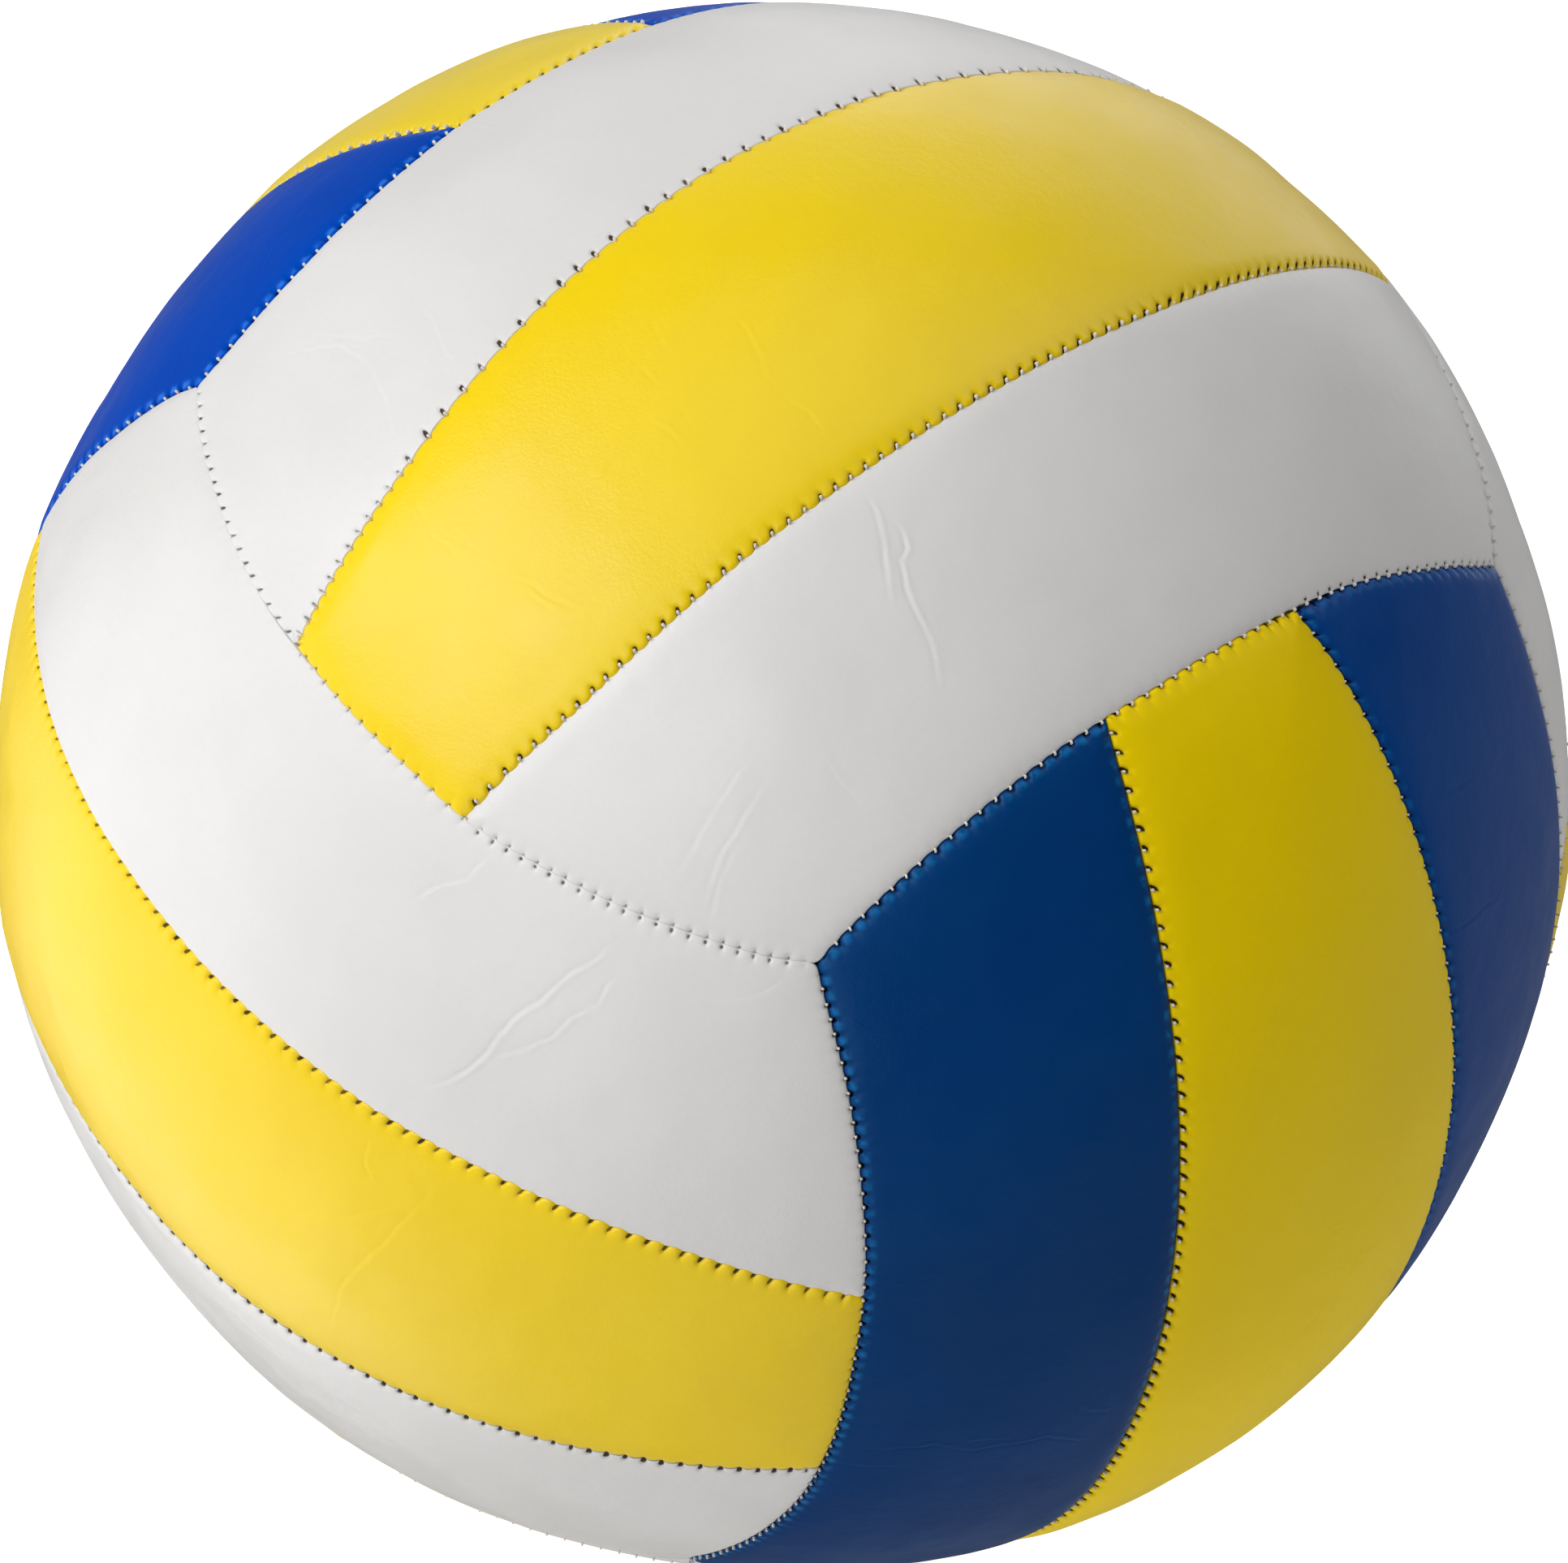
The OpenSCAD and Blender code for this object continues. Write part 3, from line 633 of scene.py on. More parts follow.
    def crown(self, d):
        full = CROWN_MIDDLE if self.strip == 0 else CROWN_OUTER
        inside = np.maximum(d, 0)
        return full * (1 - np.exp(-inside / CROWN_REACH)) - SHOULDER_D * np.exp(-inside / SHOULDER_REACH)

    def wrinkles(self, p, d):
        q = p * BALL_R
        height = sum(swell * noise(q, cell, seed) for swell, cell, seed in SWELLS) * smooth(d / SWELL_FADE)
        for number, (depth, line) in enumerate(self.creases):
            x, share = off_line(p, line)
            near = np.abs(x) < CREASE_NEAR
            stray, spread = (amount * noise(q[near], cell, seed + number)
                             for amount, cell, seed in (CREASE_STRAY, CREASE_SPREAD))
            x = x[near] + stray
            ends = smooth(share[near] / CREASE_START) * smooth((1 - share[near]) / CREASE_END)
            strength = ends * (CREASE_MEAN + spread)
            valley = np.exp(-(x / CREASE_W) ** 2)
            ridge = np.exp(-((x - RIDGE_AT) / RIDGE_W) ** 2)
            height[near] += depth * strength * (RIDGE_H * ridge - valley) * smooth(d[near] / CREASE_FADE)
        return height


def blocks_of(panel):
    """The mesh's blocks as (i, j, size): single cells along edges and creases, and 2 or 4 cells wide elsewhere."""
    n, m, b = panel.n, panel.m, BAND_N
    i, j = np.meshgrid(np.arange(n), np.arange(m), indexing="ij")
    ring = np.minimum(np.minimum(i, n - 1 - i), np.minimum(j, m - 1 - j)) < b
    blocks = [np.stack((i[ring], j[ring], np.ones(ring.sum(), int)), 1)]
    bi, bj = np.meshgrid(np.arange((n - 2 * b) // BLOCK), np.arange((m - 2 * b) // BLOCK), indexing="ij")
    size = np.where(np.minimum(np.minimum(bi, bi.max() - bi), np.minimum(bj, bj.max() - bj)) < 2, 2, BLOCK)
    middle = panel.on_ball(*(index.ravel() * BLOCK + b + BLOCK // 2 for index in (bi, bj)))
    for _, line in panel.creases:
        size[np.abs(off_line(middle, line)[0]).reshape(size.shape) < CREASE_REACH] = 1
    if panel.valve:
        around = np.maximum(np.abs(bi - bi.max() / 2), np.abs(bj - bj.max() / 2))
        size[around <= HOLE_BLOCKS + 1] = BLOCK
        size[around <= HOLE_BLOCKS] = 0
    for one in (1, 2, BLOCK):
        some = size == one
        for a, c in np.ndindex(BLOCK // one, BLOCK // one):
            blocks.append(np.stack((bi[some] * BLOCK + b + a * one, bj[some] * BLOCK + b + c * one,
                                    np.full(some.sum(), one)), 1))
    return np.concatenate(blocks)


def perimeter(size):
    """Offsets of the grid points around a block."""
    run = range(size)
    return ([(a, 0) for a in run] + [(size, a) for a in run]
            + [(size - a, size) for a in run] + [(0, size - a) for a in run])


def faces_by_size(blocks, active):
    """Polygons of the blocks, with every grid point in use on their sides, grouped by number of corners."""
    groups = {}
    for size in np.unique(blocks[:, 2]):
        some = blocks[blocks[:, 2] == size]
        offsets = np.array(perimeter(int(size)))
        ids = active[some[:, 0, None] + offsets[:, 0], some[:, 1, None] + offsets[:, 1]]
        used = ids >= 0
        for count in np.unique(used.sum(1)):
            rows = used.sum(1) == count
            groups.setdefault(int(count), []).append(ids[rows][used[rows]].reshape(-1, count))
    return groups


class Surface:
    """Points, polygons and the polygons' corner UVs of a mesh in the making, in millimetres."""

    def __init__(self):
        self.points, self.faces, self.uvs, self.total = [], [], [], 0

    def add(self, points):
        self.points.append(points)
        self.total += len(points)
        return np.arange(self.total - len(points), self.total)

    def join(self, faces, uv=None):
        self.faces.append(np.asarray(faces))
        self.uvs.append(uv)


def make_mesh(name, surface, material, attributes=None, flip=False):
    """A mesh object from a surface. flip turns all its faces over."""
    way = -1 if flip else 1
    faces = [f[:, ::way] for f in surface.faces]
    mesh = bpy.data.meshes.new(name)
    loops = np.concatenate([f.ravel() for f in faces])
    sizes = np.concatenate([np.full(len(f), f.shape[1]) for f in faces])
    mesh.vertices.add(surface.total)
    mesh.vertices.foreach_set("co", (np.concatenate(surface.points) * MM).astype(np.float32).ravel())
    mesh.loops.add(len(loops))
    mesh.loops.foreach_set("vertex_index", loops.astype(np.int32))
    mesh.polygons.add(len(sizes))
    mesh.polygons.foreach_set("loop_start", np.concatenate(([0], np.cumsum(sizes)[:-1])).astype(np.int32))
    mesh.polygons.foreach_set("use_smooth", np.ones(len(sizes), bool))
    mesh.update(calc_edges=True)
    for key, values in (attributes or {}).items():
        values = np.concatenate((values, np.zeros(surface.total - len(values))))
        mesh.attributes.new(key, "FLOAT", "POINT").data.foreach_set("value", values.astype(np.float32))
    if surface.uvs[0] is not None:
        uv = np.concatenate([u[:, ::way].reshape(-1, 2) for u in surface.uvs])
        mesh.uv_layers.new(name="OFBake").data.foreach_set("uv", uv.astype(np.float32).ravel())
    mesh.materials.append(material)
    piece = bpy.data.objects.new(name, mesh)
    bpy.context.scene.collection.objects.link(piece)
    return piece


def frame_walk(i0, i1, j0, j1, step):
    """Grid points around a rectangle, anticlockwise as seen from outside the ball."""
    return np.array([(a, j0) for a in range(i0, i1, step)] + [(i1, a) for a in range(j0, j1, step)]
                    + [(a, j1) for a in range(i1, i0, -step)] + [(i0, a) for a in range(j1, j0, -step)])


def bridge(outer, outer_turn, inner, inner_turn):
    """Triangles between two loops around the valve's hole, with each point's turn about the hole."""
    outer, outer_turn = outer[np.argsort(outer_turn)], np.sort(outer_turn)
    inner, inner_turn = inner[np.argsort(inner_turn)], np.sort(inner_turn)
    outer, outer_turn = np.append(outer, outer[0]), np.append(outer_turn, outer_turn[0] + 2 * math.pi)
    inner, inner_turn = np.append(inner, inner[0]), np.append(inner_turn, inner_turn[0] + 2 * math.pi)
    faces, a, b = [], 0, 0
    while a < len(outer) - 1 or b < len(inner) - 1:
        if b == len(inner) - 1 or (a < len(outer) - 1 and outer_turn[a + 1] < inner_turn[b + 1]):
            faces.append((outer[a], outer[a + 1], inner[b]))
            a += 1
        else:
            faces.append((outer[a], inner[b + 1], inner[b]))
            b += 1
    return np.array(faces)


def hole_points(panel, radius):
    """Unit vectors on a circle around the valve's axis, and their turns."""
    x, y, z = face_axes(panel.face)
    turn = (np.arange(HOLE_N) + 0.5) * 2 * math.pi / HOLE_N
    lean = radius / BALL_R
    ring = np.cos(turn)[:, None] * x + np.sin(turn)[:, None] * y
    return math.cos(lean) * z + math.sin(lean) * ring, turn


def turn_of(panel, p):
    x, y, _ = face_axes(panel.face)
    return np.arctan2(p @ y, p @ x) % (2 * math.pi)


# Rows of a panel's texture: outer sheet, turned-in wall, the skirt from it to the inner sheet, that sheet, and the
# hole's wall. The sheet's hole has a ring of this share of its width.
SHEET_V, EDGE_V, SKIRT_V, INNER_V, HOLE_V = (0.01, 0.86), (0.88, 0.91), (0.91, 0.925), (0.93, 0.96), (0.975, 0.99)
RING_SHARE = 0.34


def span(share, low=0.02, high=0.98):
    """A share of the texture's width, or of one of its rows."""
    return low + (high - low) * share


def build_panel(panel, material):
    """One panel's closed mesh: outer sheet, turned-in edge, inner sheet, and the hole where the valve sits."""
    n, m = panel.n, panel.m
    blocks = blocks_of(panel)
    active = np.full((n + 1, m + 1), -1)
    for a, c in ((0, 0), (1, 0), (0, 1), (1, 1)):
        active[blocks[:, 0] + a * blocks[:, 2], blocks[:, 1] + c * blocks[:, 2]] = 0
    i, j = np.nonzero(active == 0)
    active[i, j] = np.arange(len(i))
    flat = panel.on_ball(i, j)
    if panel.valve:
        flat = np.concatenate([flat] + [hole_points(panel, radius)[0] for radius, _ in HOLE_RINGS])
    moved, height, data = panel.relief(flat)
    if panel.valve:
        height[len(i):] -= np.repeat([depth for _, depth in HOLE_RINGS], HOLE_N)
    surface = Surface()
    surface.add(moved * (BALL_R + height)[:, None])
    flat_uv = np.stack((span(i / n), span(j / m, *SHEET_V)), 1)
    for groups in faces_by_size(blocks, active).values():
        for faces in groups:
            surface.join(faces, flat_uv[faces])

    # Wall of the turned-in edge, all round
    loop = active[tuple(frame_walk(0, n, 0, m, 1).T)]
    count = len(loop)
    k = np.arange(count)
    ring = loop
    for row, depth in enumerate(WALL_DEPTHS):
        below = surface.add(moved[loop] * (BALL_R - depth))
        v = np.array((row, row + 1, row + 1, row)) / len(WALL_DEPTHS)
        uv = np.stack((span(np.stack((k, k, k + 1, k + 1), 1) / count),
                       np.broadcast_to(span(v, *EDGE_V), (count, 4))), -1)
        surface.join(np.stack((ring, below, np.roll(below, -1), np.roll(ring, -1)), 1), uv)
        ring = below

    # Inner sheet, on coarser lines
    step = SHEET_STEP
    gi, gj = np.meshgrid(np.arange(0, n + 1, step), np.arange(0, m + 1, step), indexing="ij")
    shape = gi.shape
    gi, gj = gi.ravel(), gj.ravel()
    inner_i, inner_j = (np.clip(index, SHEET_INSET, last - SHEET_INSET) for index, last in ((gi, n), (gj, m)))
    under, _, info = panel.relief(panel.on_ball(inner_i, inner_j))
    fall = np.exp(-((info["edge"] - BAND[SHEET_INSET]) / SHEET_FALL) ** 2)
    depth = SKIN_T + (WALL_DEPTHS[-1] - SKIN_T) * fall
    i0, j0 = shape[0] // 2 - HOLE_CELLS, shape[1] // 2 - 1 - HOLE_CELLS
    i1, j1 = i0 + 2 * HOLE_CELLS, j0 + 2 * HOLE_CELLS + 1
    used, keep = np.ones(shape, bool), np.ones((shape[0] - 1, shape[1] - 1), bool)
    if panel.valve:
        used[i0 + 1:i1, j0 + 1:j1], keep[i0:i1, j0:j1] = False, False
    ids = np.full(shape, -1)
    ids[used] = surface.add((under * (BALL_R - depth)[:, None])[used.ravel()])
    inner_uv = np.zeros((surface.total, 2))
    inner_uv[ids[used]] = np.stack((span(gi / n), span(gj / m, *INNER_V)), 1)[used.ravel()]
    cells = np.stack((ids[:-1, :-1], ids[:-1, 1:], ids[1:, 1:], ids[1:, :-1]), -1)
    surface.join(cells[keep], inner_uv[cells[keep]])
    inner_loop = ids[tuple(frame_walk(0, shape[0] - 1, 0, shape[1] - 1, 1).T)]
    parts = [np.roll(ring, -k)[::step] for k in range(step + 1)]
    skirt = np.stack([inner_loop, np.roll(inner_loop, -1)] + parts[::-1], 1)
    count = len(inner_loop)
    k = np.arange(count)[:, None]
    share = np.broadcast_to(np.append((0, 1), np.arange(step, -1, -1) / step), (count, step + 3))
    v = np.broadcast_to(np.append((1, 1), np.zeros(step + 1, int)), share.shape)
    surface.join(skirt, np.stack((span((k + share) / count), span(v, *SKIRT_V)), -1))

    if panel.valve:
        inner_loop = frame_walk(i0, i1, j0, j1, 1).T
        places = under.reshape(*shape, 3)[tuple(inner_loop)]
        add_hole(panel, surface, active, flat, flat_uv, len(i), ids[tuple(inner_loop)], places, inner_uv)
    return make_mesh(panel.name, surface, material, data, panel.flip)


def add_hole(panel, surface, active, flat, flat_uv, first, inner_loop, places, inner_uv):
    """Fills in the leather around the valve's hole: outer rings, the hole's wall, and the inner sheet."""
    low_i, low_j = (BAND_N + BLOCK * ((count - 2 * BAND_N) // (2 * BLOCK) - HOLE_BLOCKS)
                    for count in (panel.n, panel.m))
    size = BLOCK * (2 * HOLE_BLOCKS + 1)
    loop = active[tuple(frame_walk(low_i, low_i + size, low_j, low_j + size, BLOCK).T)]
    turn = hole_points(panel, 1.0)[1]
    rings = [first + k * HOLE_N + np.arange(HOLE_N) for k in range(len(HOLE_RINGS))]
    # The sheet's UVs near the hole, as a linear map of the place on the ball
    x, y, _ = face_axes(panel.face)
    place = np.stack((flat @ x, flat @ y), 1)
    scale = (flat_uv[loop].max(0) - flat_uv[loop].min(0)) / (place[loop].max(0) - place[loop].min(0))
    centre = (flat_uv[loop].max(0) + flat_uv[loop].min(0)) / 2
    near_uv = centre + place * scale
    near_uv[:first] = flat_uv
    faces = bridge(loop, turn_of(panel, flat[loop]), rings[0], turn)
    surface.join(faces, near_uv[faces])
    for outer, inner in zip(rings, rings[1:]):
        quads = np.stack((outer, np.roll(outer, -1), np.roll(inner, -1), inner), 1)
        surface.join(quads, near_uv[quads])
    k = np.arange(HOLE_N)
    across = span(np.stack((k, k + 1, k + 1, k), 1) / HOLE_N)
    last = rings[-1]
    for row, radius in enumerate((HOLE_RINGS[-1][0], HOLE_UNDER_R)):
        below = surface.add(hole_points(panel, radius)[0] * (BALL_R - SKIN_T))
        v = span(np.array((row, row, row + 1, row + 1)) / 2, *HOLE_V)
        surface.join(np.stack((last, np.roll(last, -1), np.roll(below, -1), below), 1),
                     np.stack((across, np.broadcast_to(v, across.shape)), -1))
        last = below
    faces = bridge(inner_loop, turn_of(panel, places), last, turn)[:, ::-1]
    ring_uv = np.zeros((surface.total, 2))
    ring_uv[:len(inner_uv)] = inner_uv
    middle = inner_uv[inner_loop].mean(0)
    reach = (inner_uv[inner_loop].max(0) - inner_uv[inner_loop].min(0)) * RING_SHARE
    ring_uv[last] = middle + reach * np.stack((np.cos(turn), np.sin(turn)), 1)
    surface.join(faces, ring_uv[faces])


def solid(colour):
    """A colour with its alpha."""
    return (*colour, 1)


def node_tree(name):
    material = bpy.data.materials.new(name)
    material.use_nodes = True
    tree = material.node_tree
    tree.nodes.clear()
    return material, tree


class Nodes:
    """Short calls for building a material's nodes."""

    def __init__(self, tree):
        self.tree = tree

    def add(self, kind, inputs=None, **settings):
        node = self.tree.nodes.new(kind)
        for key, value in settings.items():
            setattr(node, key, value)
        for key, value in (inputs or {}).items():
            if isinstance(value, bpy.types.NodeSocket):
                self.tree.links.new(value, node.inputs[key])
            else:
                node.inputs[key].default_value = value
        return node

    def math(self, operation, *values):
        return self.add("ShaderNodeMath", dict(enumerate(values)), operation=operation).outputs[0]

    def attribute(self, name):
        return self.add("ShaderNodeAttribute", attribute_name=name).outputs["Fac"]

    def noise(self, vector, scale, detail=2.0, roughness=0.5):
        return self.add("ShaderNodeTexNoise", {"Vector": vector, "Scale": scale, "Detail": detail,
                                               "Roughness": roughness}).outputs["Fac"]

    def ramp(self, value, low, high, out_low=0.0, out_high=1.0, kind="SMOOTHSTEP"):
        return self.add("ShaderNodeMapRange", {"Value": value, "From Min": low, "From Max": high,
                                               "To Min": out_low, "To Max": out_high},
                        interpolation_type=kind).outputs["Result"]

    def mix(self, factor, a, b):
        return self.add("ShaderNodeMix", {0: factor, 6: a, 7: b}, data_type="RGBA").outputs[2]

    def bump(self, height, distance, normal=None):
        inputs = {"Height": height, "Distance": distance}
        if normal is not None:
            inputs["Normal"] = normal
        return self.add("ShaderNodeBump", inputs).outputs["Normal"]

    def finish(self, inputs):
        shader = self.add("ShaderNodeBsdfPrincipled", inputs)
        out = self.tree.nodes.new("ShaderNodeOutputMaterial")
        self.tree.links.new(shader.outputs[0], out.inputs[0])


# Each leather: its colour, the colour of its worn spots, the dark colour inside its needle holes, which is also painted
# as shade in and around the holes and along the seams' lips, its gloss and the gloss's tint, and the colour of a
# highlight painted on the beads beside the stitches, if it has any. A panel takes the leather of its own name, of its
# face, or of its colour alone; those named for a face or a panel are copies made lighter, paler or less glossy for how
# the light falls there, which paints light and shade.
LEATHERS = {
    "white": ((0.79, 0.78, 0.772), (0.74, 0.73, 0.715), (0.06, 0.028, 0.009), 0.3, (1, 1, 1), None),
    "yellow": ((0.985, 0.71, 0.003), (0.94, 0.66, 0.002), (0.045, 0.018, 0.001), 0.5, (0.45, 0.58, 1), None),
    # yellow_right and yellow_left: copies of the yellow for the faces turned from and towards the light, the first with
    # little gloss, the second paler and glossier, which paints shade and sheen
    "yellow_right": ((0.98, 0.715, 0.001), (0.93, 0.665, 0.001), (0.03, 0.014, 0.001), 0.1, (0.6, 0.7, 1), None),
    "yellow_left": ((0.985, 0.74, 0.02), (0.94, 0.69, 0.02), (0.045, 0.018, 0.001), 0.9, (1, 1, 1), None),
    "blue": ((0, 0.047, 0.205), (0, 0.040, 0.18), (0.001, 0.0015, 0.003), 0.35, (0.4, 0.8, 1), (0.005, 0.16, 0.45)),
    # blue_right_rear: a brighter blue for the panel lit from behind, which paints light
    "blue_right_rear": ((0, 0.057, 0.29), (0, 0.049, 0.255), (0.001, 0.0015, 0.003), 0.35, (0.4, 0.8, 1),
                        (0.005, 0.12, 0.42)),
    # blue_left: a far brighter blue for the face towards the key light, which paints light
    "blue_left": ((0, 0.063, 0.475), (0, 0.055, 0.42), (0.001, 0.002, 0.006), 0.03, (0.1, 0.6, 0.9),
                  (0.03, 0.20, 0.78)),
}
# Leather's features for each metre, and how far each stands out in metres
PATCHES, SHADES, SPECKS, HIGHLIGHT_PATCHES, GLAZE = 26, 900, 2600, 800, 120
CELLS, PORES, DIMPLES = 2600.0, 5200, 420
SKIN_BUMP, DIMPLE_BUMP, HOLE_BUMP = 0.00002, 0.00006, 0.0003
ROUGHNESS, HOLE_ROUGHNESS = (0.31, 0.39), 0.5
# Needle hole: how ragged it is, its rim and its halo in half widths, and how dark each is made, partly the hole's own
# dark inside and stain, partly painted shade; and the painted shade along the seam's lip and how far it reaches
RAGGED = 0.5
HOLE_RIM, HOLE_SHADE = (1.25, 0.8), 0.97
HALO_RIM, HALO_SHADE = (2.6, 1.0), 0.16
LIP_SHADE, LIP_REACH = 0.7, 0.14
# The painted highlight on the beads: where it starts and ends from the edge in millimetres, and its strength
HIGHLIGHT_START, HIGHLIGHT_END, HIGHLIGHT_STRENGTH = (0.25, 0.7), (1.7, 0.8), 0.85


def leather(colour):
    """Grained, softly shining leather with dark needle holes beside its seams."""
    base, worn, hole_and_shade_colour, gloss, gloss_tint, bead_highlight = LEATHERS[colour]
    material, tree = node_tree(f"leather_{colour}")
    k = Nodes(tree)
    place = k.add("ShaderNodeTexCoord").outputs["Object"]
    tint = k.mix(k.ramp(k.noise(place, PATCHES, 3), 0.35, 0.75), solid(base), solid(worn))
    tint = k.mix(k.ramp(k.noise(place, SHADES, 3, 0.6), 0.3, 0.8, 0.0, 0.25), tint, solid(worn))

    # Distance from the nearest needle hole, in half widths of the hole
    edge = k.attribute("edge")
    near = k.math("SUBTRACT", k.math("FRACT", k.math("ADD", k.attribute("phase"), 0.5)), 0.5)
    step = k.math("MULTIPLY", near, k.attribute("pitch"))
    offset = k.math("SUBTRACT", edge, k.attribute("hole_u"))
    slip = k.math("SUBTRACT", step, k.math("MULTIPLY", offset, k.attribute("lean")))
    wide, long = k.math("DIVIDE", slip, k.attribute("hole_r")), k.math("DIVIDE", offset, k.attribute("hole_l"))
    far = k.math("SQRT", k.math("ADD", k.math("MULTIPLY", wide, wide), k.math("MULTIPLY", long, long)))
    far = k.math("ADD", far, k.math("MULTIPLY", k.math("SUBTRACT", k.noise(place, SPECKS, 1), 0.5), RAGGED))

    # The holes' dark is partly their own dark inside and partly painted shade of the recess; the halo around each hole
    # is partly the leather's stain and partly painted shade
    strong = k.ramp(k.attribute("hole_r"), 0.02, 0.24, kind="LINEAR")
    hole = k.math("MULTIPLY", k.ramp(far, *HOLE_RIM), strong)
    halo = k.math("MULTIPLY", k.ramp(far, *HALO_RIM), strong)
    # Painted shade along the seam's lip, where two panels meet
    painted_lip_shade = k.math("MULTIPLY", k.ramp(edge, 0.0, LIP_REACH, LIP_SHADE, 0.0), k.attribute("lip"))
    shade = k.math("MAXIMUM", k.math("MULTIPLY", hole, HOLE_SHADE), painted_lip_shade)
    # Painted highlight: a lighter colour in patches on the beads between the stitches, where gloss would catch the
    # light
    if bead_highlight:
        highlight_band = k.math("MULTIPLY", k.ramp(edge, *HIGHLIGHT_START), k.ramp(edge, *HIGHLIGHT_END))
        highlight_band = k.math("MULTIPLY", highlight_band, k.ramp(k.noise(place, HIGHLIGHT_PATCHES, 2), 0.28, 0.6, 0.0, HIGHLIGHT_STRENGTH))
        highlight_band = k.math("MULTIPLY", highlight_band, k.ramp(k.math("ABSOLUTE", near), 0.1, 0.4))
        tint = k.mix(highlight_band, tint, solid(bead_highlight))
    # The halo's painted shade, partly stain, darkens the colour around each hole
    tint = k.mix(k.math("MULTIPLY", halo, HALO_SHADE), tint, solid(hole_and_shade_colour))

    grain = k.add("ShaderNodeTexVoronoi", {"Vector": place, "Scale": CELLS, "Randomness": 1.0},
                  feature="SMOOTH_F1").outputs["Distance"]
    skin = k.math("ADD", k.math("MULTIPLY", grain, 0.7), k.math("MULTIPLY", k.noise(place, PORES, 2), 0.5))
    normal = k.bump(skin, SKIN_BUMP)
    normal = k.bump(k.noise(place, DIMPLES, 2), DIMPLE_BUMP, normal)
    normal = k.bump(k.math("MULTIPLY", hole, -1.0), HOLE_BUMP, normal)
    roughness = k.ramp(k.noise(place, GLAZE, 2), 0.3, 0.7, *ROUGHNESS)
    roughness = k.math("ADD", roughness, k.math("MULTIPLY", hole, HOLE_ROUGHNESS))
    k.finish({"Base Color": k.mix(shade, tint, solid(hole_and_shade_colour)), "Roughness": roughness, "Normal": normal,
              "Specular IOR Level": gloss, "Specular Tint": solid(gloss_tint)})
    return material


# Other materials: two colours, features for each metre, roughness, how far they stand out, whether it is woven
PLAIN_LOOKS = {
    "thread": ((0.80, 0.77, 0.70), (0.66, 0.62, 0.54), 1500, 0.75, 0.00004, False),
    "backing": ((0.72, 0.68, 0.58), (0.60, 0.56, 0.46), 700, 0.9, 0.0001, True),
    "bladder": ((0.02, 0.02, 0.022), (0.035, 0.033, 0.03), 60, 0.6, 0.00005, False),
    "seat": ((0.03, 0.04, 0.04), (0.05, 0.055, 0.05), 90, 0.55, 0.00005, False),
    "valve": ((0.012, 0.012, 0.013), (0.03, 0.03, 0.03), 500, 0.5, 0.00003, False),
    "patch": ((0.75, 0.74, 0.70), (0.62, 0.60, 0.55), 900, 0.9, 0.0001, True),
}
ROUGHNESS_SPREAD = 0.06


def plain_material(name):
    """Cloth, foam, thread or rubber with its own colour variation and surface."""
    base, other, scale, roughness, bump, weave = PLAIN_LOOKS[name]
    material, tree = node_tree(name)
    k = Nodes(tree)
    place = k.add("ShaderNodeTexCoord").outputs["Object"]
    spread = k.noise(place, scale, 4, 0.6)
    height = k.noise(place, scale * 5, 2)
    if weave:
        waves = [k.add("ShaderNodeTexWave", {"Vector": place, "Scale": scale * 1.6, "Distortion": 0.6},
                       bands_direction=way).outputs["Fac"] for way in "XZ"]
        height = k.math("ADD", height, k.math("MAXIMUM", *waves))
    rough = k.ramp(spread, 0.2, 0.8, roughness - ROUGHNESS_SPREAD, roughness + ROUGHNESS_SPREAD)
    k.finish({"Base Color": k.mix(k.ramp(spread, 0.3, 0.7), solid(base), solid(other)), "Roughness": rough,
              "Normal": k.bump(height, bump)})
    return material


materials = {f"leather_{name}": leather(name) for name in LEATHERS}
materials.update({name: plain_material(name) for name in PLAIN_LOOKS})

for face in FACES:
    for strip in (-1, 0, 1):
        panel = Panel(face, strip)
        # Panels take the copies of their leather made lighter or darker for how the light falls on them: painted light
        # and shade
        place = panel.node.removeprefix("panel_")
        shades = (f"{panel.colour}_{place}", f"{panel.colour}_{face[0]}", panel.colour)
        shade = next(name for name in shades if name in LEATHERS)
        piece = build_panel(panel, materials[f"leather_{shade}"])
        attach(piece, "root")
        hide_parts(panel.node)


# Thread: rings and corners of a bit's mesh, how its ends dip as (depth, power), the spread of its length, slant and
# depth, and the depth, radius, step and end of the hidden run
BIT_RINGS, CORNERS = 9, 8
BIT_DIP = ((0.3, 4), (0.1, 2))
BIT_LENGTHS, BIT_SLANTS, BIT_DEPTHS = (0.75, 1.2), (-0.25, 0.25), (-0.1, 0.12)
RUN_DEPTH, RUN_R, RUN_STEP, RUN_END = 2.35, 0.28, 1.3, 2
THREAD_SEED = 500


def tube(centre, radius):
    """Points and quads of a closed tube along centre points, for each of several tubes at once."""
    count, rings, _ = centre.shape
    along = unit(np.gradient(centre, axis=1))
    up = unit(centre)
    sidewise = unit(np.cross(along, up))
    up = np.cross(sidewise, along)
    turn = np.linspace(0, 2 * math.pi, CORNERS, endpoint=False)
    ring = np.cos(turn)[:, None] * sidewise[:, :, None, :] + np.sin(turn)[:, None] * up[:, :, None, :]
    points = centre[:, :, None, :] + ring * radius[:, :, None, None]
    ids = np.arange(count * rings * CORNERS).reshape(count, rings, CORNERS)
    after = np.roll(ids, -1, axis=2)
    quads = np.stack((ids[:, :-1], ids[:, 1:], after[:, 1:], after[:, :-1]), -1).reshape(-1, 4)
    caps = [ids[:, 0], ids[:, -1, ::-1]]
    return points.reshape(-1, 3), [quads, *caps]



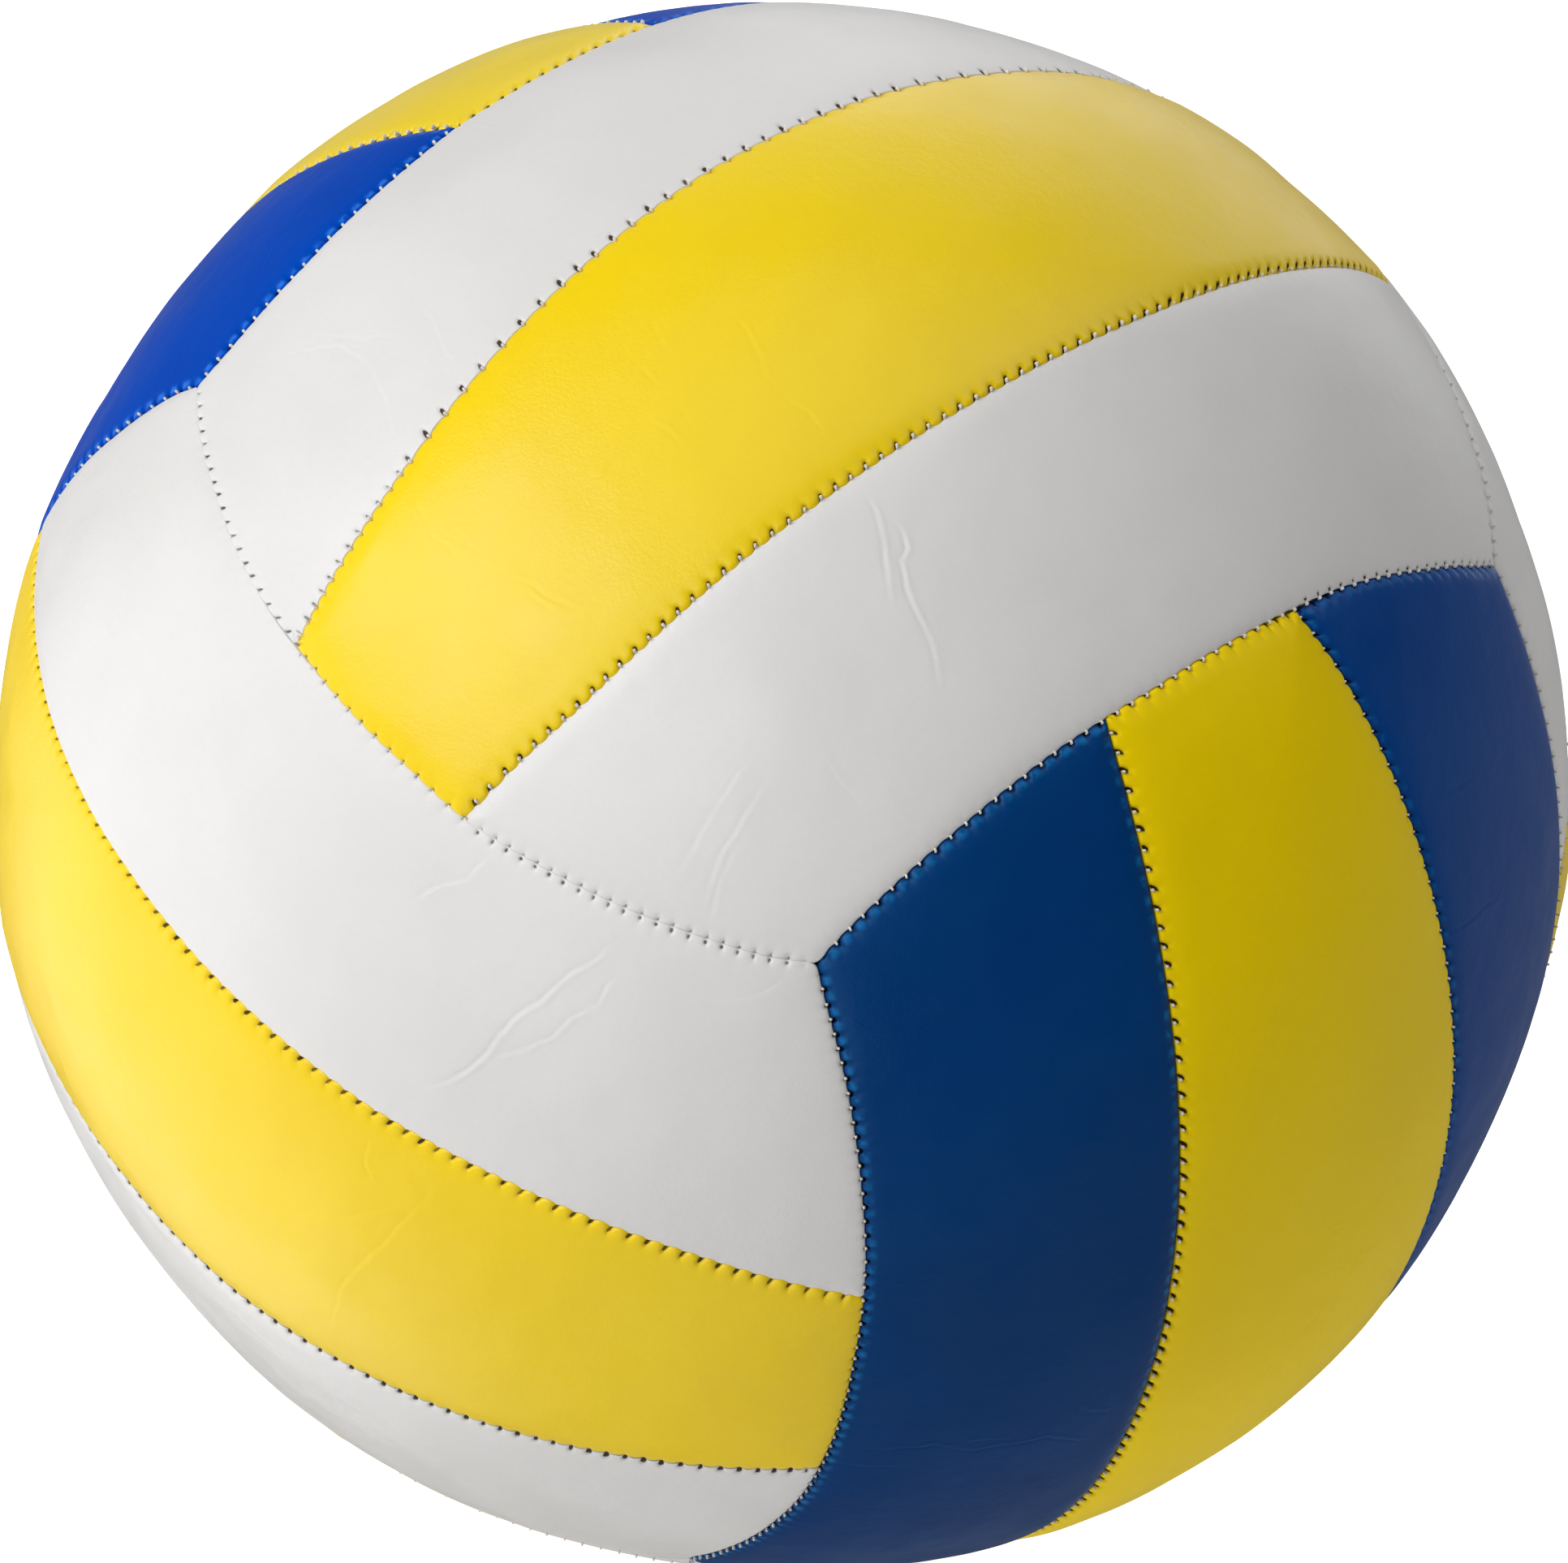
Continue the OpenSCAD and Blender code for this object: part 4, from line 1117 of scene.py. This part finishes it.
def thread_of(seam):
    """The thread's bits that show at the needle holes, and its run under the seam."""
    rng = np.random.default_rng(seam.seed + THREAD_SEED)
    x, length, depth, slant, shift, radius = np.array(seam.thread, float).T
    n = seam.count
    length = length * rng.uniform(*BIT_LENGTHS, n)
    slant = slant + rng.uniform(*BIT_SLANTS, n)
    depth = depth + rng.uniform(*BIT_DEPTHS, n)
    slow, wave = seam.contact(seam.at)
    way = np.linspace(-1, 1, BIT_RINGS)
    across = (slow + wave + x)[:, None] + 0.5 * length[:, None] * way
    along = (seam.at + shift)[:, None] + 0.5 * (slant * length)[:, None] * way
    below = sum((dip * way ** power for dip, power in BIT_DIP), depth[:, None])
    centre = seam.point(along.ravel(), across.ravel(), below.ravel()).reshape(n, BIT_RINGS, 3)
    bits, bit_faces = tube(centre, radius[:, None] * np.ones(BIT_RINGS))
    run_s = np.arange(-seam.half + RUN_END, seam.half - RUN_END, RUN_STEP)
    run = seam.point(run_s, seam.contact(run_s)[0], np.full(len(run_s), RUN_DEPTH))[None]
    line, line_faces = tube(run, np.full((1, len(run_s)), RUN_R))
    return [bits, line], [bit_faces, line_faces]


def thread_piece(name, node, seams):
    """One visible piece with the thread of some seams, in place of their stitching node."""
    surface = Surface()
    for seam in seams:
        for points, groups in zip(*thread_of(seam)):
            first = surface.add(points)[0]
            for faces in groups:
                surface.join(faces + first)
    piece = make_mesh(name, surface, materials["thread"])
    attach(piece, "root")
    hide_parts(node)


def name_towards(direction):
    return next(f[0] for f in FACES if np.allclose(f[1], direction))


for face in FACES:
    both = [SEAMS[face[0], way, "strip"] for way in (-1, 1)]
    thread_piece(f"thread_{face[0]}_strips", f"stitching_{face[0]}_strips", both)
    for way in (-1, 1):
        other = name_towards(way * np.array(face[2]))
        thread_piece(f"thread_{face[0]}_{other}", f"stitching_{face[0]}_{other}", [SEAMS[face[0], way, "face"]])

# Nodes of the part that stay as they are, by how their names start
CARRIED_OVER = {"backing_": "backing", "bladder": "bladder", "valve_seat": "seat", "valve_core": "valve",
                "valve_patch": "patch"}
for name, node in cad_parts.items():
    for start, finish in CARRIED_OVER.items():
        if name.startswith(start):
            node.data.materials.clear()
            node.data.materials.append(materials[finish])

# Camera at the photograph's viewing angle: its distance in metres, its focal length and shift in the photograph's
# pixels, and its sensor in millimetres
DISTANCE = 1.5353
LENS_PIXELS = 14158
SHIFT_PIXELS = (0.73, 6.62)
FRAME_W = 1932
SENSOR_W = 36
cam_x, cam_y, cam_z = Vector(CAM_X), Vector(CAM_Y), Vector(CAM_Z)
camera = bpy.data.objects.new("camera", bpy.data.cameras.new("camera"))
camera.data.sensor_width = SENSOR_W
camera.data.lens = LENS_PIXELS * SENSOR_W / FRAME_W
camera.data.clip_start, camera.data.clip_end = 0.1, 20
pixel = DISTANCE / LENS_PIXELS
place = cam_z * DISTANCE + cam_x * SHIFT_PIXELS[0] * pixel + cam_y * SHIFT_PIXELS[1] * pixel
camera.matrix_world = Matrix.Translation(place) @ Matrix((cam_x, cam_y, cam_z)).transposed().to_4x4()
bpy.context.scene.collection.objects.link(camera)
bpy.context.scene.camera = camera


# Soft lights: direction from the ball, distance and size in metres, power in watts
SOFTBOXES = {
    "key": ((-0.449, -0.664, 0.606), 1.1, 0.8, 7.0),
    "front": ((0.12, -0.68, 0.72), 1.1, 0.8, 3.4),
    "top": ((-0.2, 0.05, 1.0), 1.1, 0.8, 1.8),
    "crest": ((0.22, 0.6, 0.77), 1.2, 0.8, 2.3),
    "side": ((0.61, -0.77, 0.21), 1.2, 0.5, 0.95),
    "rim": ((-0.72, 0.64, 0.28), 1.2, 0.8, 0.9),
    "back": ((-0.45, 0.88, 0.08), 1.2, 1.0, 3.2),
}
for name, (direction, distance, size, power) in SOFTBOXES.items():
    data = bpy.data.lights.new(name, "AREA")
    data.shape, data.size, data.energy = "SQUARE", size, power
    lamp = bpy.data.objects.new(name, data)
    way = Vector(direction).normalized()
    lamp.location = way * distance
    lamp.rotation_euler = way.to_track_quat("Z", "Y").to_euler()
    bpy.context.scene.collection.objects.link(lamp)


def fade(k, vector, way, start, end, from_value, to_value):
    """A value that changes smoothly along one direction."""
    dot = k.add("ShaderNodeVectorMath", {0: vector, 1: way}, operation="DOT_PRODUCT").outputs["Value"]
    return k.ramp(dot, start, end, from_value, to_value)


# Floor: a plain pale sheet that the ball stands on, glowing more brightly behind the ball than in front of it
FLOOR_REACH = 4.0
FLOOR_DROP = 0.0008
FLOOR_TONES, FLOOR_PATCHES, FLOOR_ROUGHNESS = ((0.9, 0.9, 0.9), (0.88, 0.88, 0.885)), 6, 0.9
GLOW_WAY, GLOW_START, GLOW_END = (0.632, -0.775, 0), -0.1, 0.25
FLOOR_BACK, FLOOR_FRONT = 1.0, 0.24
# What the leather mirrors: the dark studio, and the floor's glows as (direction, start, end, strength)
SKY = 0.025
FLOOR_GLOWS = (((-0.5, -0.6, -0.63), 0.7, 0.95, 1.5), ((-0.66, 0.53, -0.53), 0.92, 0.99, 0.28),
               ((0.25, 0.7, -0.65), 0.6, 0.95, 0.15))
floor_mesh = bpy.data.meshes.new("floor")
corners = [(x * FLOOR_REACH, y * FLOOR_REACH, 0) for x, y in ((-1, -1), (1, -1), (1, 1), (-1, 1))]
floor_mesh.from_pydata(corners, [], [range(4)])
floor = bpy.data.objects.new("floor", floor_mesh)
floor.location.z = cad_box[0][2] - FLOOR_DROP
bpy.context.scene.collection.objects.link(floor)
floor.visible_glossy = False
material, tree = node_tree("floor")
k = Nodes(tree)
place = k.add("ShaderNodeTexCoord").outputs["Object"]
pale = k.mix(k.ramp(k.noise(place, FLOOR_PATCHES, 2), 0.3, 0.7), *map(solid, FLOOR_TONES))
glow = fade(k, place, GLOW_WAY, GLOW_START, GLOW_END, FLOOR_BACK, FLOOR_FRONT)
k.finish({"Base Color": pale, "Roughness": FLOOR_ROUGHNESS, "Emission Color": (1, 1, 1, 1), "Emission Strength": glow})
floor_mesh.materials.append(material)

# Studio, with the floor's glows added up
world = bpy.data.worlds.new("studio")
world.use_nodes = True
k = Nodes(world.node_tree)
around = k.add("ShaderNodeTexCoord").outputs["Generated"]
light = SKY
for way, start, end, glow in FLOOR_GLOWS:
    light = k.math("ADD", light, fade(k, around, way, start, end, 0, glow))
world.node_tree.links.new(light, world.node_tree.nodes["Background"].inputs["Strength"])
world.node_tree.nodes["Background"].inputs["Color"].default_value = (1, 1, 1, 1)
bpy.context.scene.world = world
bpy.context.scene.view_settings.view_transform = "Standard"
